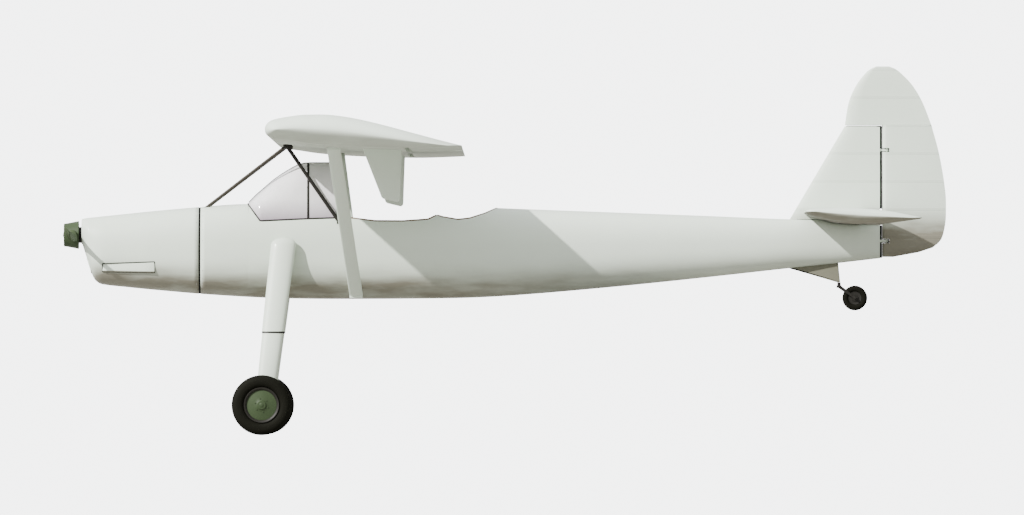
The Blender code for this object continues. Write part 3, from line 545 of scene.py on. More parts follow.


# %% [markdown]
# ## The finishes
# The reference is painted a pale greenish grey all over, with dark olive on the spinner and the
# wheel discs, black tyres and olive-brown tubes. The belly, the wing and tailplane undersides and
# the lower fin and rudder are darkened as painted shade along with grime, and the lower legs carry
# grime.

# %% The finishes
pale_grey = (0.68, 0.755, 0.665)
coated = {"coat": 0.10, "gloss": 0.3}
cloth = {"grain_size": 900.0, "bump": 0.15, "gloss": 0.25}
# The skin, wing cloth and tail cloths darken low down and underneath as painted shade with some grime: the
# belly, the wing and tailplane undersides, and the tailplane's shadow on fin and rudder.
skin_paint = finish_material(
    "pale skin paint", "pale_skin", pale_grey, 0.45, shade_and_grime=(1.37, 1.03, 1.00),
    under=(0.10, -0.60, 1.15, 0.35), bump=0.05, **coated)
wing_cloth = finish_material(
    "doped wing cloth", "pale_fabric", (0.70, 0.775, 0.69), 0.55, shade_and_grime=(2.72, 2.50, 0.35),
    under=(0.05, -0.60, 0.50, 1.0), lines=(("Y", 0.310, 0.040, 0.10, 0.0012),), **cloth)
tail_cloth = finish_material(
    "doped tail cloth", "pale_fabric", pale_grey, 0.55, shade_and_grime=(2.02, 1.66, 1.30),
    lines=(("Z", 0.280, 0.032, 0.08, 0.0010),), **cloth)
tailplane_cloth = finish_material(
    "doped tailplane cloth", "pale_fabric", pale_grey, 0.55, shade_and_grime=(1.92, 1.80, 0.30),
    under=(0.60, -0.30, 1.20, 1.0), lines=(("Y", 0.290, 0.036, 0.10, 0.0010),), **cloth)
strut_paint = finish_material("strut paint", "pale_skin", pale_grey, 0.45, bump=0.04, **coated)
leg_paint = finish_material(
    "leg paint", "pale_skin", pale_grey, 0.42, shade_and_grime=(0.7, -0.1, 0.25), bump=0.05, **coated)
# The plate under the tail is coloured far darker than the pale grey: painted shade under the tail.
tail_plate_shade_paint = finish_material(
    "tail plate shade paint", "pale_skin", (0.150, 0.150, 0.110), 0.5, shade_and_grime=(1.45, 1.22, 0.60), gloss=0.2,
    bump=0.05)
olive_paint = finish_material(
    "dark olive paint", "dark_green", (0.034, 0.052, 0.023), 0.50, patch=(0.35, 6.0), gloss=0.2)
blade_paint = finish_material(
    "blade paint", "dark_green", (0.050, 0.070, 0.034), 0.75, patch=(0.30, 5.0), gloss=0.04)
tyre_rubber = finish_material(
    "tyre rubber", "black_rubber", (0.006, 0.006, 0.004), 0.75, patch=(0.5, 7.0), grain_size=260.0,
    bump=0.5, spread=0.2, gloss=0.06)
tube_paint = finish_material(
    "olive-brown tube paint", "dark_steel", (0.034, 0.029, 0.021), 0.50, patch=(0.35, 9.0), gloss=0.2)
bare_steel = finish_material(
    "bare steel", "dark_steel", (0.32, 0.31, 0.29), 0.50, patch=(0.25, 20.0), metallic=0.95, spread=0.3)
seam_black = finish_material(
    "seam shadow", "dark_steel", (0.006, 0.006, 0.005), 0.8, patch=(0.3, 8.0), gloss=0.1)
engine_paint = finish_material(
    "engine enamel", "engine_iron", (0.045, 0.047, 0.045), 0.45, patch=(0.5, 9.0), metallic=0.4, bump=0.6)
cockpit_paint = finish_material(
    "cockpit grey-green", "cockpit_grey", (0.20, 0.23, 0.19), 0.60, patch=(0.25, 5.0))
leather = finish_material(
    "brown leather", "brown_leather", (0.115, 0.062, 0.034), 0.48, patch=(0.35, 8.0), grain_size=700.0,
    bump=0.8, spread=0.25, coat=0.08)
trim_black = finish_material(
    "trim black", "dark_steel", (0.012, 0.011, 0.009), 0.5, patch=(0.3, 10.0), gloss=0.25)
dial_marks = finish_material(
    "dial marks", "cockpit_grey", (0.75, 0.74, 0.62), 0.6, patch=(0.2, 30.0))

# %% [markdown]
# Glass needs its own material. The reference shows the glazing as a milky lavender white, because
# the sky's reflection and old crazed acrylic hide the cockpit. A plain glass shader would show
# only the dark inside, so a thin pale coat that still lets light by is mixed in: crazed acrylic and
# a painted reflection of the sky, near white above and darker lavender below.

# %% The glazing
glazing, wires, shader = new_material("old acrylic glazing")
glazing["slot"] = "clear_glass"
place = wires.level_place()
# Paler upwards: a painted reflection of the bright sky, with darker lavender low down as painted shade.
paler_upwards = wires.ramp(wires.xyz(place)["Z"], 1.85, 2.05)
milky_painted_reflection = wires.blend(paler_upwards, (0.49, 0.43, 0.49, 1), (0.98, 0.96, 0.98, 1))
crazed_painted_reflection = wires.group(patchy_tone, {"Place": place, "Colour": milky_painted_reflection, "Strength": 0.45, "Size": 2.2})
rough = wires.group(grain, {"Place": place, "Size": 30.0, "Roughness": 0.14, "Spread": 0.10})
wires.fill(shader, {
    "IOR": 1.49, "Transmission Weight": 0.10, "Coat Weight": 0.5, "Alpha": 0.90,
    "Base Color": crazed_painted_reflection["Colour"], "Roughness": rough["Roughness"],
})
print("materials:", len(bpy.data.materials))

# %% [markdown]
# ## The fuselage skin
# The fuselage is one long tube of cloth and sheet over frames. Its sections are rounded boxes,
# so each is a superellipse: width, height and one number for how square it is. Smooth curves run
# through the stations. The sheet is laid from the left cockpit rim, under the keel, to the right
# rim, and where there is no cockpit the two rims meet on the top line.

# %% Fuselage stations and the cockpit rim
# Columns: x, top z, bottom z, half width, roundness (2 is an ellipse)
fuselage_stations = [
    (-1.810, 1.860, 1.620, 0.150, 2.3), (-1.755, 1.870, 1.450, 0.205, 2.4),
    (-1.700, 1.876, 1.285, 0.240, 2.5), (-1.660, 1.880, 1.232, 0.258, 2.5),
    (-1.600, 1.887, 1.205, 0.275, 2.5), (-1.330, 1.915, 1.175, 0.315, 2.6),
    (-1.130, 1.936, 1.155, 0.345, 2.7), (-0.640, 1.979, 1.112, 0.395, 2.9),
    (-0.150, 2.010, 1.080, 0.418, 3.0), (0.200, 2.008, 1.067, 0.425, 3.0),
    (0.670, 2.003, 1.060, 0.430, 3.0), (1.400, 1.995, 1.062, 0.430, 3.0),
    (2.070, 1.980, 1.072, 0.420, 3.0), (2.600, 1.960, 1.102, 0.400, 2.9),
    (3.500, 1.926, 1.180, 0.335, 2.7), (4.400, 1.892, 1.272, 0.255, 2.5),
    (5.270, 1.857, 1.368, 0.170, 2.4), (5.580, 1.856, 1.400, 0.135, 2.4),
    (5.700, 1.827, 1.413, 0.120, 2.4), (5.860, 1.811, 1.431, 0.100, 2.4),
    (6.168, 1.799, 1.467, 0.056, 2.4),
]
# Line along which the top is cut away for the windscreen and the cockpits: x, z
rim_line = [
    (-0.150, 2.010), (-0.025, 1.835), (0.470, 1.858), (0.890, 1.870), (1.120, 1.842),
    (1.400, 1.840), (1.650, 1.858), (1.740, 1.900), (1.800, 1.882), (1.950, 1.856),
    (2.070, 1.870), (2.220, 1.918), (2.340, 1.972),
]
nose_x, cowl_end, skin_start, skin_end = -1.810, -0.640, -0.620, 6.168
around_hull = 96
fuselage_wall, sheet_wall = 0.018, 0.012


def station(x):
    """The fuselage at x: middle height, half height, half width and roundness."""
    _, top, bottom, half_width, roundness = smooth_row(fuselage_stations, x)
    return (top + bottom) / 2, (top - bottom) / 2, half_width, roundness


def signed_power(value, power):
    return abs(value) ** power * (1 if value > 0 else -1)


def hull_point(x, turn, inset=0.0):
    """A point of the skin. turn is 0 at the keel, 0.5 at the left side and 1 on the top line.

    A negative turn is the right side.
    """
    middle, half_height, half_width, roundness = station(x)
    side, rise = cos(-pi / 2 - turn * pi), sin(-pi / 2 - turn * pi)
    y = (half_width - inset) * signed_power(side, 2 / roundness)
    z = (half_height - inset) * signed_power(rise, 2 / roundness)
    return Vector((x, 0.0 if abs(side) < 1e-9 else y, middle + z))


def half_width_at(x, z):
    middle, half_height, half_width, roundness = station(x)
    rise = min(abs(z - middle) / half_height, 1.0)
    return half_width * (1 - rise ** roundness) ** (1 / roundness)


def rim_turn(x):
    """How far round from the keel the skin reaches at x: 1 where it closes on the top line."""
    if not rim_line[0][0] < x < rim_line[-1][0]:
        return 1.0
    middle, half_height, _, roundness = station(x)
    rise = (straight_row(rim_line, x)[1] - middle) / half_height
    if rise >= 1.0:
        return 1.0
    from_side = rise ** (roundness / 2)
    return 0.5 + atan2(from_side, sqrt(1 - from_side**2)) / pi


def hull_sheet(xs, inset=0.0, reach=lambda x: 1.0):
    def surface(u, v):
        x = xs[round(u * (len(xs) - 1))]
        return hull_point(x, (2 * v - 1) * reach(x), inset)
    return laid_sheet(len(xs) - 1, around_hull, surface)


# %% The fuselage skin, one sheet from the firewall to the tail
skin_xs = sorted(set(
    evenly(skin_start, -0.150, 0.047) + evenly(-0.150, -0.025, 0.0125) + evenly(-0.025, 2.340, 0.0215)
    + evenly(2.250, 2.334, 0.006) + [x for x, _ in rim_line] + evenly(2.340, skin_end, 0.060)
))
skin_bm = hull_sheet(skin_xs, reach=rim_turn)
end_edges = [edge for edge in skin_bm.edges if edge.is_boundary and all(v.co.x > 6.1 for v in edge.verts)]
bmesh.ops.holes_fill(skin_bm, edges=end_edges, sides=0)
fuselage_skin = finished(
    skin_bm, "fuselage_skin", skin_paint,
    ("side_left", "side_right", "belly", "nose_deck", "rear_deck", "rear_fuselage"), turn_out=False,
)
walled(fuselage_skin, fuselage_wall)
print("fuselage skin:", len(fuselage_skin.data.polygons), "faces")

# %% [markdown]
# ## The cockpit rims
# Sheet metal cut for a cockpit is never left raw: a split leather roll is laced over the edge.
# The roll follows the rim, so a circle is carried along that line. Both cockpits have one, and
# where the glazing sits on the rim there is none.

# %% Rolls along the rims
def rim_path(xs, side):
    return [hull_point(x, side * rim_turn(x), 0.009) for x in xs]


roll_radius = 0.013
front_xs = evenly(0.765, 1.735, 0.02)
rear_xs = evenly(1.745, 2.250, 0.02) + evenly(2.256, 2.338, 0.006)
front_rolls = [swept_tube(rim_path(front_xs, side), roll_radius) for side in (1, -1)]
finished(front_rolls, "front_cockpit_roll", leather)
rear_roll = swept_tube(rim_path(rear_xs, 1) + rim_path(reversed(rear_xs), -1), roll_radius)
finished(rear_roll, "rear_cockpit_roll", leather)

# %% [markdown]
# ## The deck between the cockpits
# A low sheet with a raised lip turns the wind over the rear cockpit. Its outline from the side is
# a short ramp up and a longer one down, carried straight across between the side walls.

# %% The ridge deck
# The deck's outline from the side: x, z
ridge_line = [(1.655, 1.857), (1.700, 1.874), (1.740, 1.8995), (1.765, 1.892), (1.800, 1.8815),
              (1.900, 1.865)]


def ridge_surface(u, v):
    x, z = smooth_row(ridge_line, between(ridge_line[0][0], ridge_line[-1][0], u))
    crown = 0.006 * (1 - (2 * v - 1) ** 2)
    return Vector((x, (2 * v - 1) * (half_width_at(x, z) - 0.019), z - 0.004 + crown))


ridge = finished(laid_sheet(28, 24, ridge_surface), "cockpit_ridge_deck", skin_paint, "cockpit_bridge")
walled(ridge, sheet_wall)

# %% [markdown]
# ## The cowling
# The engine cowl is the same tube carried on to the nose, in sheet metal with a rolled front lip.
# Its nose is closed by a face with the shaft's hole, and a chin intake is cut in later. The joint
# to the fuselage is the one dark panel line of the reference: here the firewall's edge shows in a
# real gap.

# %% The cowl sheet and its nose
cowl_xs = sorted(set(
    evenly(nose_x, -1.700, 0.011) + evenly(-1.700, -1.600, 0.020) + evenly(-1.600, cowl_end, 0.048)))
cowl = finished(hull_sheet(cowl_xs), "cowl_sheet", skin_paint, "cowling", turn_out=False)
walled(cowl, sheet_wall)

shaft_at = level_joint("propeller_spin")
shaft_hole, around_nose = 0.092, 48


def nose_ring(deeper, share, inset=0.0):
    """Rings that run from the cowl's front edge in to the shaft's hole."""
    points = []
    for i in range(around_nose):
        outer = hull_point(nose_x, 2 * i / around_nose - 1, inset)
        angle = atan2(outer.z - shaft_at.z, outer.y)
        hole = Vector((nose_x + deeper, shaft_hole * cos(angle), shaft_at.z + shaft_hole * sin(angle)))
        points.append(Vector((nose_x + deeper, outer.y, outer.z)).lerp(hole, share))
    return points


nose_rings = [nose_ring(0.004, 0.0, 0.002)] + [nose_ring(deeper, share) for deeper, share in (
    (-0.001, 0.06), (-0.003, 0.2), (-0.003, 0.6), (-0.001, 0.93), (0.006, 1.0), (0.030, 1.0))]
finished(lofted(nose_rings, ends=False), "cowl_nose_face", skin_paint)

# %% [markdown]
# The firewall is a flat steel sheet between the engine and the cockpit. Only its edge shows.

# %% The firewall's edge, and the screws of the cowl's joint
# The firewall's edge takes the near-black seam shadow finish: painted shade in the cowl joint's gap.
firewall_ring = hull_sheet([cowl_end + 0.001, skin_start - 0.0005], 0.003)
finished(close_ends(firewall_ring), "firewall_sheet", seam_black, "firewall")

screws = []
for x in (cowl_end - 0.022, skin_start + 0.022):
    for i in range(28):
        turn = -1 + 2 * (i + 0.5) / 28
        at = hull_point(x, turn)
        screws.append(peg(at, (at - hull_point(x, turn, 0.02)).normalized(), 8, 0.0042, 0.003, 0.003))
finished(screws, "cowl_screws", bare_steel)

# %% [markdown]
# ## Spinner, shaft and propeller
# Everything that turns with the shaft is made about the shaft's own axis and then placed. The
# spinner is a turned shell: one outline, spun with Blender's spin. The blades are lofted, with
# their twist from a short table, and their round roots pass through the spinner.

# %% The spinner and the shaft
on_shaft = {"body": "propeller", "place": parked @ tail_on(shaft_at)}
spinner_outline = [
    (0, -0.0800), (0.030, -0.0800), (0.034, -0.0770), (0.108, -0.0770), (0.1145, -0.0720),
    (0.118, -0.045), (0.126, 0.0), (0.134, 0.040), (0.139, 0.066), (0.140, 0.072), (0.136, 0.0750),
    (0.085, 0.0752), (0.082, 0.068), (0, 0.068),
]
finished(spun(spinner_outline), "spinner_shell", olive_paint, "spinner", crease=30, **on_shaft)
collar = [(0.0790, 0.0755), (0.0795, 0.0785), (0.0800, 0.0800), (0.0800, 0.3140), (0.0, 0.3140)]
finished(spun(collar, 48), "shaft_tube", trim_black, "propeller_shaft", crease=30, **on_shaft)
nose_cap = [(0, -0.0868), (0.012, -0.0866), (0.0165, -0.0850), (0.0185, -0.0805), (0.0, -0.0795)]
finished(spun(nose_cap, 32), "spinner_nose_bolt", bare_steel, crease=30, **on_shaft)

# %% The blades
# Columns: radius, chord, thickness, pitch in degrees
blade_rows = [
    (0.000, 0.096, 0.096, 90.0), (0.150, 0.096, 0.096, 90.0), (0.260, 0.130, 0.060, 62.0),
    (0.420, 0.168, 0.040, 45.0), (0.700, 0.170, 0.026, 31.0), (0.980, 0.140, 0.017, 24.0),
    (1.160, 0.100, 0.011, 21.0), (1.235, 0.040, 0.006, 20.0),
]
blade_root, blade_tip, widest_chord = 0.10, 1.235, 0.170


def blade_loop(share, side):
    radius = between(blade_root, blade_tip, share)
    _, chord, thick, pitch = smooth_row(blade_rows, radius)
    rounding = sqrt(max(0.0, 1 - ((share - 0.93) / 0.07) ** 2)) if share > 0.93 else 1.0
    chord, angle = min(chord, widest_chord) * rounding, radians(pitch)
    loop = []
    for turn in ring(32):
        a, b = chord / 2 * cos(turn), thick / 2 * sin(turn) * (1 - 0.35 * cos(turn))
        fore, up = a * cos(angle) + b * sin(angle), -a * sin(angle) + b * cos(angle)
        loop.append((side * fore, side * radius, up))
    return loop


blades = [lofted([blade_loop(share, side) for share in shares(48)]) for _, side in sides]
finished(blades, "propeller_blade_pair", blade_paint, "propeller_blades", crease=40, **on_shaft)

# %% [markdown]
# ## Windscreen and hood
# The glazing is one thin curved shell on bows. From the front it is an arch that stands on the
# cockpit rim, and from the side its top follows a line of five bends. A superellipse gives the
# arch and a short table gives the line, and the shell's two bows are the same arch, thicker.

# %% The glazing's arches
# Columns: x, top z
glazing_top = [
    (-0.150, 2.014), (-0.080, 2.088), (-0.010, 2.150), (0.120, 2.260), (0.270, 2.358),
    (0.370, 2.408), (0.440, 2.420), (0.600, 2.422), (0.780, 2.422),
]
arch_roundness = 2.7


def arch_point(x, share, drop=0.0):
    base = straight_row(rim_line, x)[1]
    top = smooth_row(glazing_top, x)[1]
    half = max(half_width_at(x, base) - 0.004, 0.02) - drop
    side, rise = cos(pi * share), max(sin(pi * share), 0.0)
    z = base + max(top - base - drop, 0.002) * rise ** (2 / arch_roundness)
    return Vector((x, half * signed_power(side, 2 / arch_roundness), z))


def glazing_sheet(xs, thickness, drop=0.0):
    """A closed shell: up the outside, over, and back down the inside."""
    across = shares(64)
    return lofted([[arch_point(x, share, drop) for share in across]
                   + [arch_point(x, share, drop + thickness) for share in reversed(across)] for x in xs])


pane_thickness = 0.005
screen = glazing_sheet(evenly(-0.146, 0.4445, 0.018), pane_thickness)
finished(screen, "windscreen_pane", glazing, "windscreen", crease=40)
hood = glazing_sheet(evenly(0.4655, 0.7345, 0.03), pane_thickness)
finished(hood, "hood_pane", glazing, "hood", crease=40)
for name, start, end in (("windscreen_bow", 0.4440, 0.4660), ("hood_bow", 0.734, 0.756)):
    bow = glazing_sheet(evenly(start, end, 0.011), 0.016, -0.003)
    finished(bow, name + "_strip", trim_black, name, crease=40)

# A spine joins the two halves of the glazing, and a strip beds it on the fuselage
spine = [arch_point(x, 0.5, -0.001) for x in evenly(-0.140, 0.752, 0.02)]
finished(swept_tube(spine, 0.0065), "glazing_spine", trim_black)
for name, share in (("left", 1.0), ("right", 0.0)):
    bed = [arch_point(x, share, -0.004) + Vector((0, 0, 0.004)) for x in evenly(-0.148, 0.755, 0.02)]
    finished(swept_tube(bed, 0.0075), "glazing_bed_" + name, trim_black)

# %% [markdown]
# ## The wing
# A cloth-covered wing is ribs under tight doped cloth, so its skin is one smooth sheet from the
# rear spar over the nose and back, with tapes over the ribs. The section is read along a curve in
# the square root of the distance from the nose, which is what makes a nose round. Behind the rear
# spar are the bays for flaps and ailerons, and beyond them the section is whole to the tip.

# %% The wing's section
# Columns: x, upper z, lower z
wing_rows = [
    (0.080, 2.699, 2.699), (0.093, 2.745, 2.652), (0.142, 2.787, 2.621), (0.300, 2.823, 2.597),
    (0.500, 2.844, 2.567), (0.700, 2.843, 2.549), (0.950, 2.809, 2.535), (1.230, 2.745, 2.525),
    (1.560, 2.657, 2.521), (1.860, 2.578, 2.530), (2.005, 2.5430, 2.5370),
]


def section_loop(rows, rear_x, count, squeeze=1.0):
    """A closed outline of (x, z): from the upper rear over the nose to the lower rear."""
    nose, chord = rows[0][0], rows[-1][0] - rows[0][0]
    rooted = [(sqrt((x - nose) / chord), upper, lower) for x, upper, lower in rows]
    reach = sqrt((rear_x - nose) / chord)
    upper, lower = [], []
    for share in shares(count):
        root = reach * share
        _, high, low = smooth_row(rooted, root)
        middle = (high + low) / 2
        upper.append((nose + chord * root**2, middle + (high - middle) * squeeze))
        lower.append((nose + chord * root**2, middle + (low - middle) * squeeze))
    return list(reversed(upper)) + lower[1:]


def straight_span(section, ys):
    return lofted([[(x, y, z) for x, z in section] for y in ys])


def rounded_tip(rows, side, bay_end, start, end, count, rings, pull_in, middle):
    """The whole section from the end of a bay to a tip that rounds off between start and end."""
    loops = []
    for y in [bay_end + 0.0002] + [start + (end - start) * sin(pi / 2 * share) for share in shares(rings)]:
        share = max(0.0, (y - start) / (end - start))
        squeeze = max(sqrt(1 - min(share, 0.9999) ** 2), 0.03)
        pull = 1 - (1 - squeeze) * pull_in
        section = section_loop(rows, rows[-1][0], count, squeeze)
        loops.append([(middle + (x - middle) * pull, side * y, z) for x, z in section])
    return lofted(loops)


def lug_and_pin(at, along, reach):
    """A hinge lug that comes forward from the hinge line, with its pin. along is the hinge line."""
    radius, half_width = 0.018, 0.012
    at, along, forward = Vector(at), Vector(along), Vector((-1, 0, 0))
    across = along.cross(forward)
    corners = []
    for share in shares(12):
        angle = -pi / 2 + pi * share
        corners.append(radius * (across * sin(angle) - forward * cos(angle)))
    corners += [forward * reach + across * radius, forward * reach - across * radius]
    lug = extruded([at + corner - along * half_width for corner in corners], along * 2 * half_width)
    return [lug, peg(at, along, 16, 0.008, 0.008, 0.068)]


def hinge_lugs(name, line, ys, reach):
    lugs = [part for y in ys for part in lug_and_pin((line[0], y, line[1]), (0, 1, 0), reach)]
    finished(lugs, name, strut_paint, crease=30)


wing_count = 44
centre_half, aileron_end, tip_start, wing_half_span = 0.620, 5.142, 5.200, 5.500
flap_hinges, aileron_hinges = (0.850, 1.800, 2.750), (3.200, 4.050, 4.900)
hinge_at = level_joint("flap_left_turn")
hinge_line = (hinge_at.x, hinge_at.z)
flap_nose, bay_gap = 0.067, 0.015
wing_front, wing_rear = wing_rows[0][0], wing_rows[-1][0]

whole_section = section_loop(wing_rows, wing_rear, wing_count)
centre = straight_span(whole_section, evenly(-centre_half, centre_half, 0.31))
finished(centre, "wing_centre_section", wing_cloth, "wing_centre", crease=30)
bay_section = section_loop(wing_rows, hinge_line[0] - flap_nose - bay_gap, wing_count)
for name, side in sides:
    ys = [side * y for y in evenly(centre_half + 0.0004, aileron_end, 0.30)]
    tip = rounded_tip(wing_rows, side, aileron_end, tip_start, wing_half_span, wing_count, 14, 0.14,
                      between(wing_front, wing_rear, 0.45))
    wing = [straight_span(bay_section, ys), tip]
    finished(wing, "wing_skin_" + name, wing_cloth, "wing_" + name, crease=30)
    hinge_lugs("wing_hinge_lugs_" + name, hinge_line, [side * y for y in flap_hinges + aileron_hinges], 0.100)

# %% [markdown]
# ## Flaps and ailerons
# A plain hinged surface has a round nose about its hinge line, so the gap to the wing stays even
# as it moves. Where a hinge lug comes in, the nose is cut back to a flat. The loft does both: the
# same loop of points all along, with its nose points held back near a hinge.

# %% Hinged surfaces
cut_back = 0.028             # how far behind the hinge line the nose is cut back at a lug


def hinged_surface(rows, hinge, nose_radius, y_ends, hinge_ys):
    """A surface with a round nose about the hinge line, notched for the hinge lugs."""
    x0, z0 = hinge
    half_notch, wall_step, cloth_step = 0.020, 0.0003, 0.0015
    behind = [between(x0 + 0.052, rows[-1][0], share) for share in shares(12)]
    upper = [(x, straight_row(rows, x)[1] - cloth_step) for x in behind]
    lower = [(x, straight_row(rows, x)[2] + cloth_step) for x in behind]
    turns = [pi / 2 + pi * share for share in shares(16)]
    nose = [(x0 + nose_radius * cos(turn), z0 + nose_radius * sin(turn)) for turn in turns]
    plain = list(reversed(upper)) + nose + lower
    trimmed = [(max(x, x0 + cut_back), z) for x, z in plain]
    stops = [(y_ends[0], plain)]
    for y in sorted(hinge_ys):
        stops += [(y - half_notch - wall_step, plain), (y - half_notch, trimmed),
                  (y + half_notch, trimmed), (y + half_notch + wall_step, plain)]
    stops.append((y_ends[1], plain))
    return lofted([[(x, y, z) for x, z in loop] for y, loop in stops])


hinged = (("flap", (0.650, 2.960), flap_hinges), ("aileron", (2.980, 5.130), aileron_hinges))
for name, side in sides:
    for kind, span, hinges in hinged:
        surface = hinged_surface(wing_rows, hinge_line, flap_nose, sorted(side * y for y in span),
                                 [side * y for y in hinges])
        node = kind + "_" + name
        finished(surface, node + "_skin", wing_cloth, node, crease=30, body=node)

# %% [markdown]
# ## Struts and tubes
# The lift struts are drawn tubes of a streamlined section, the cabane tubes are plain round ones.
# Each is one outline carried from end to end. Where a strut meets the fuselage or the wing there
# is a small plate, which also hides the strut's cut end. The rear cabane tubes' shoes are bolted.

# %% Lift struts, cabane tubes and fins under the wing
def stream_strut(start, end, chord, thickness):
    """A strut of teardrop section. Its chord lies along x."""
    along = (end - start).normalized()
    lengthwise = (Vector((1, 0, 0)) - along.x * along).normalized()
    across = along.cross(lengthwise)
    section = [chord / 2 * (cos(turn) - 0.12 * (1 - cos(2 * turn))) * lengthwise
               + thickness / 2 * sin(turn) * across for turn in ring(40)]
    return lofted([[start.lerp(end, share) + out for out in section] for share in shares(24)])


def block(at, size, radius, segments=2):
    """A rounded block by its middle and its size."""
    at, half = Vector(at), Vector(size) / 2
    return rounded_box(at - half, at + half, radius, segments)


underwing_outline = [
    (1.012, 2.560), (1.022, 2.525), (1.206, 2.054), (1.222, 2.040), (1.345, 2.010), (1.366, 2.008),
    (1.382, 2.022), (1.387, 2.042), (1.404, 2.530), (1.405, 2.560),
]
for name, side in sides:
    foot, head = Vector((0.935, side * 0.270, 1.095)), Vector((0.7285, side * 2.548, 2.546))
    strut = stream_strut(foot, head, 0.134, 0.050)
    finished(strut, "lift_strut_tube_" + name, strut_paint, "lift_strut_" + name, crease=40)
    plates = [block((0.933, side * 0.262, 1.087), (0.130, 0.068, 0.042), 0.008, 3),
              block((0.729, side * 2.560, 2.538), (0.122, 0.100, 0.036), 0.008, 3)]
    finished(plates, "lift_strut_fittings_" + name, strut_paint)

    front = round_bar((-0.600, side * 0.131, 1.945), (0.215, side * 0.353, 2.570), 0.0165)
    finished(front, "cabane_front_tube_" + name, tube_paint, "cabane_front_" + name, crease=40)
    rear = [
        round_bar((0.765, side * 0.423, 1.829), (0.246, side * 0.360, 2.578), 0.0185),
        block((0.250, side * 0.360, 2.5815), (0.090, 0.064, 0.043), 0.006),
        block((0.774, side * 0.428, 1.822), (0.064, 0.032, 0.032), 0.006),
        bolt((0.225, side * 0.394, 2.582), (0, side, 0), 0.008, 0.010),
        bolt((0.272, side * 0.394, 2.582), (0, side, 0), 0.008, 0.010),
        bolt((0.782, side * 0.446, 1.822), (0, side, 0), 0.009, 0.008),
    ]
    finished(rear, "cabane_rear_tube_" + name, trim_black, "cabane_rear_" + name, crease=40)
    fin_plate = side_plate(underwing_outline, side * 2.970, 0.034, 0.011)
    finished(fin_plate, "wing_fin_plate_" + name, strut_paint, "wing_fin_" + name, crease=40)

# %% [markdown]
# ## Tail surfaces
# The tailplane is a small wing and is made as one. The fin and the rudder stand up, so their
# sections are stacked in height: each level is a loop round the leading edge and back. The
# rudder's balance horn reaches forward over the fin's top, as in the reference.

# %% The tailplane and the elevator
# Columns: x, upper z, lower z
tailplane_rows = [
    (5.409, 1.923, 1.923), (5.425, 1.939, 1.905), (5.456, 1.948, 1.892), (5.600, 1.957, 1.8545),
    (5.800, 1.961, 1.8185), (6.050, 1.948, 1.8030), (6.250, 1.926, 1.814), (6.563, 1.8650, 1.8570),
]
tailplane_count = 32
elevator_end, tailplane_tip, tailplane_half = 1.545, 1.560, 1.750
elevator_at = level_joint("elevator_turn")
elevator_line = (elevator_at.x, elevator_at.z)
elevator_nose = 0.057
tail_bay_x = elevator_line[0] - elevator_nose - 0.013

bay_section = section_loop(tailplane_rows, tail_bay_x, tailplane_count)
middle = (tailplane_rows[0][0] + tailplane_rows[-1][0]) / 2
parts = [straight_span(bay_section, evenly(-elevator_end, elevator_end, 0.3))]
parts += [rounded_tip(tailplane_rows, side, elevator_end, tailplane_tip, tailplane_half, tailplane_count,
                      12, 0.16, middle) for _, side in sides]
finished(parts, "tailplane_skin", tailplane_cloth, "tailplane", crease=30)

elevator_hinges = (0.350, 1.300)
halves = []
for _, side in sides:
    half = hinged_surface(tailplane_rows, elevator_line, elevator_nose, sorted((side * 0.100, side * 1.533)),
                          [side * y for y in elevator_hinges])
    # The inner end slants outwards to the rear, to leave the rudder room
    for vert in half.verts:
        inner_edge = between(0.115, 0.400, max(0.0, vert.co.x - 6.080) / 0.620)
        if abs(vert.co.y) < inner_edge:
            vert.co.y = side * inner_edge
    halves.append(half)
middle_bar = Vector((0, 0.13, 0))
halves.append(round_bar(elevator_at - middle_bar, elevator_at + middle_bar, 0.0185))
finished(halves, "elevator_skin", tailplane_cloth, "elevator", crease=30, body="elevator")
lug_ys = [side * y for _, side in sides for y in elevator_hinges]
hinge_lugs("tailplane_hinge_lugs", elevator_line, lug_ys, 0.085)

# %% The fin
fin_rear_x, fin_top_z, fin_base_z = 6.168, 2.787, 1.8575
# Columns: z, front x, half thickness
fin_rows = [(fin_base_z, 5.268, 0.060), (2.300, 5.529, 0.052), (fin_top_z, 5.817, 0.042)]
# The section's half: share of the chord, share of the half thickness
fin_shape = [(0.0, 0.0), (0.003, 0.14), (0.012, 0.28), (0.030, 0.43), (0.060, 0.60), (0.110, 0.76),
             (0.180, 0.90), (0.280, 0.98), (0.400, 1.0), (0.700, 0.92), (1.0, 0.78)]


def fin_loop(z):
    _, front, half = straight_row(fin_rows, z)
    left = [(between(front, fin_rear_x, share), -half * out, z) for share, out in fin_shape]
    return left + [(x, -y, z) for x, y, z in reversed(left[1:])]


fin_skin = lofted([fin_loop(z) for z in evenly(fin_base_z, fin_top_z, 0.08)])
finished(fin_skin, "fin_skin", tail_cloth, "fin", crease=30)
rudder_x = level_joint("rudder_turn").x
rudder_lug_heights = (2.550, 1.640)
lugs = [part for z, reach in zip(rudder_lug_heights, (0.100, 0.085))
        for part in lug_and_pin((rudder_x, 0, z), (0, 0, 1), reach)]
finished(lugs, "rudder_hinge_lugs", strut_paint, crease=30)

# %% Dark strips in the gaps round the rudder: painted shade in the gaps
gap_rear = rudder_x - 0.0449
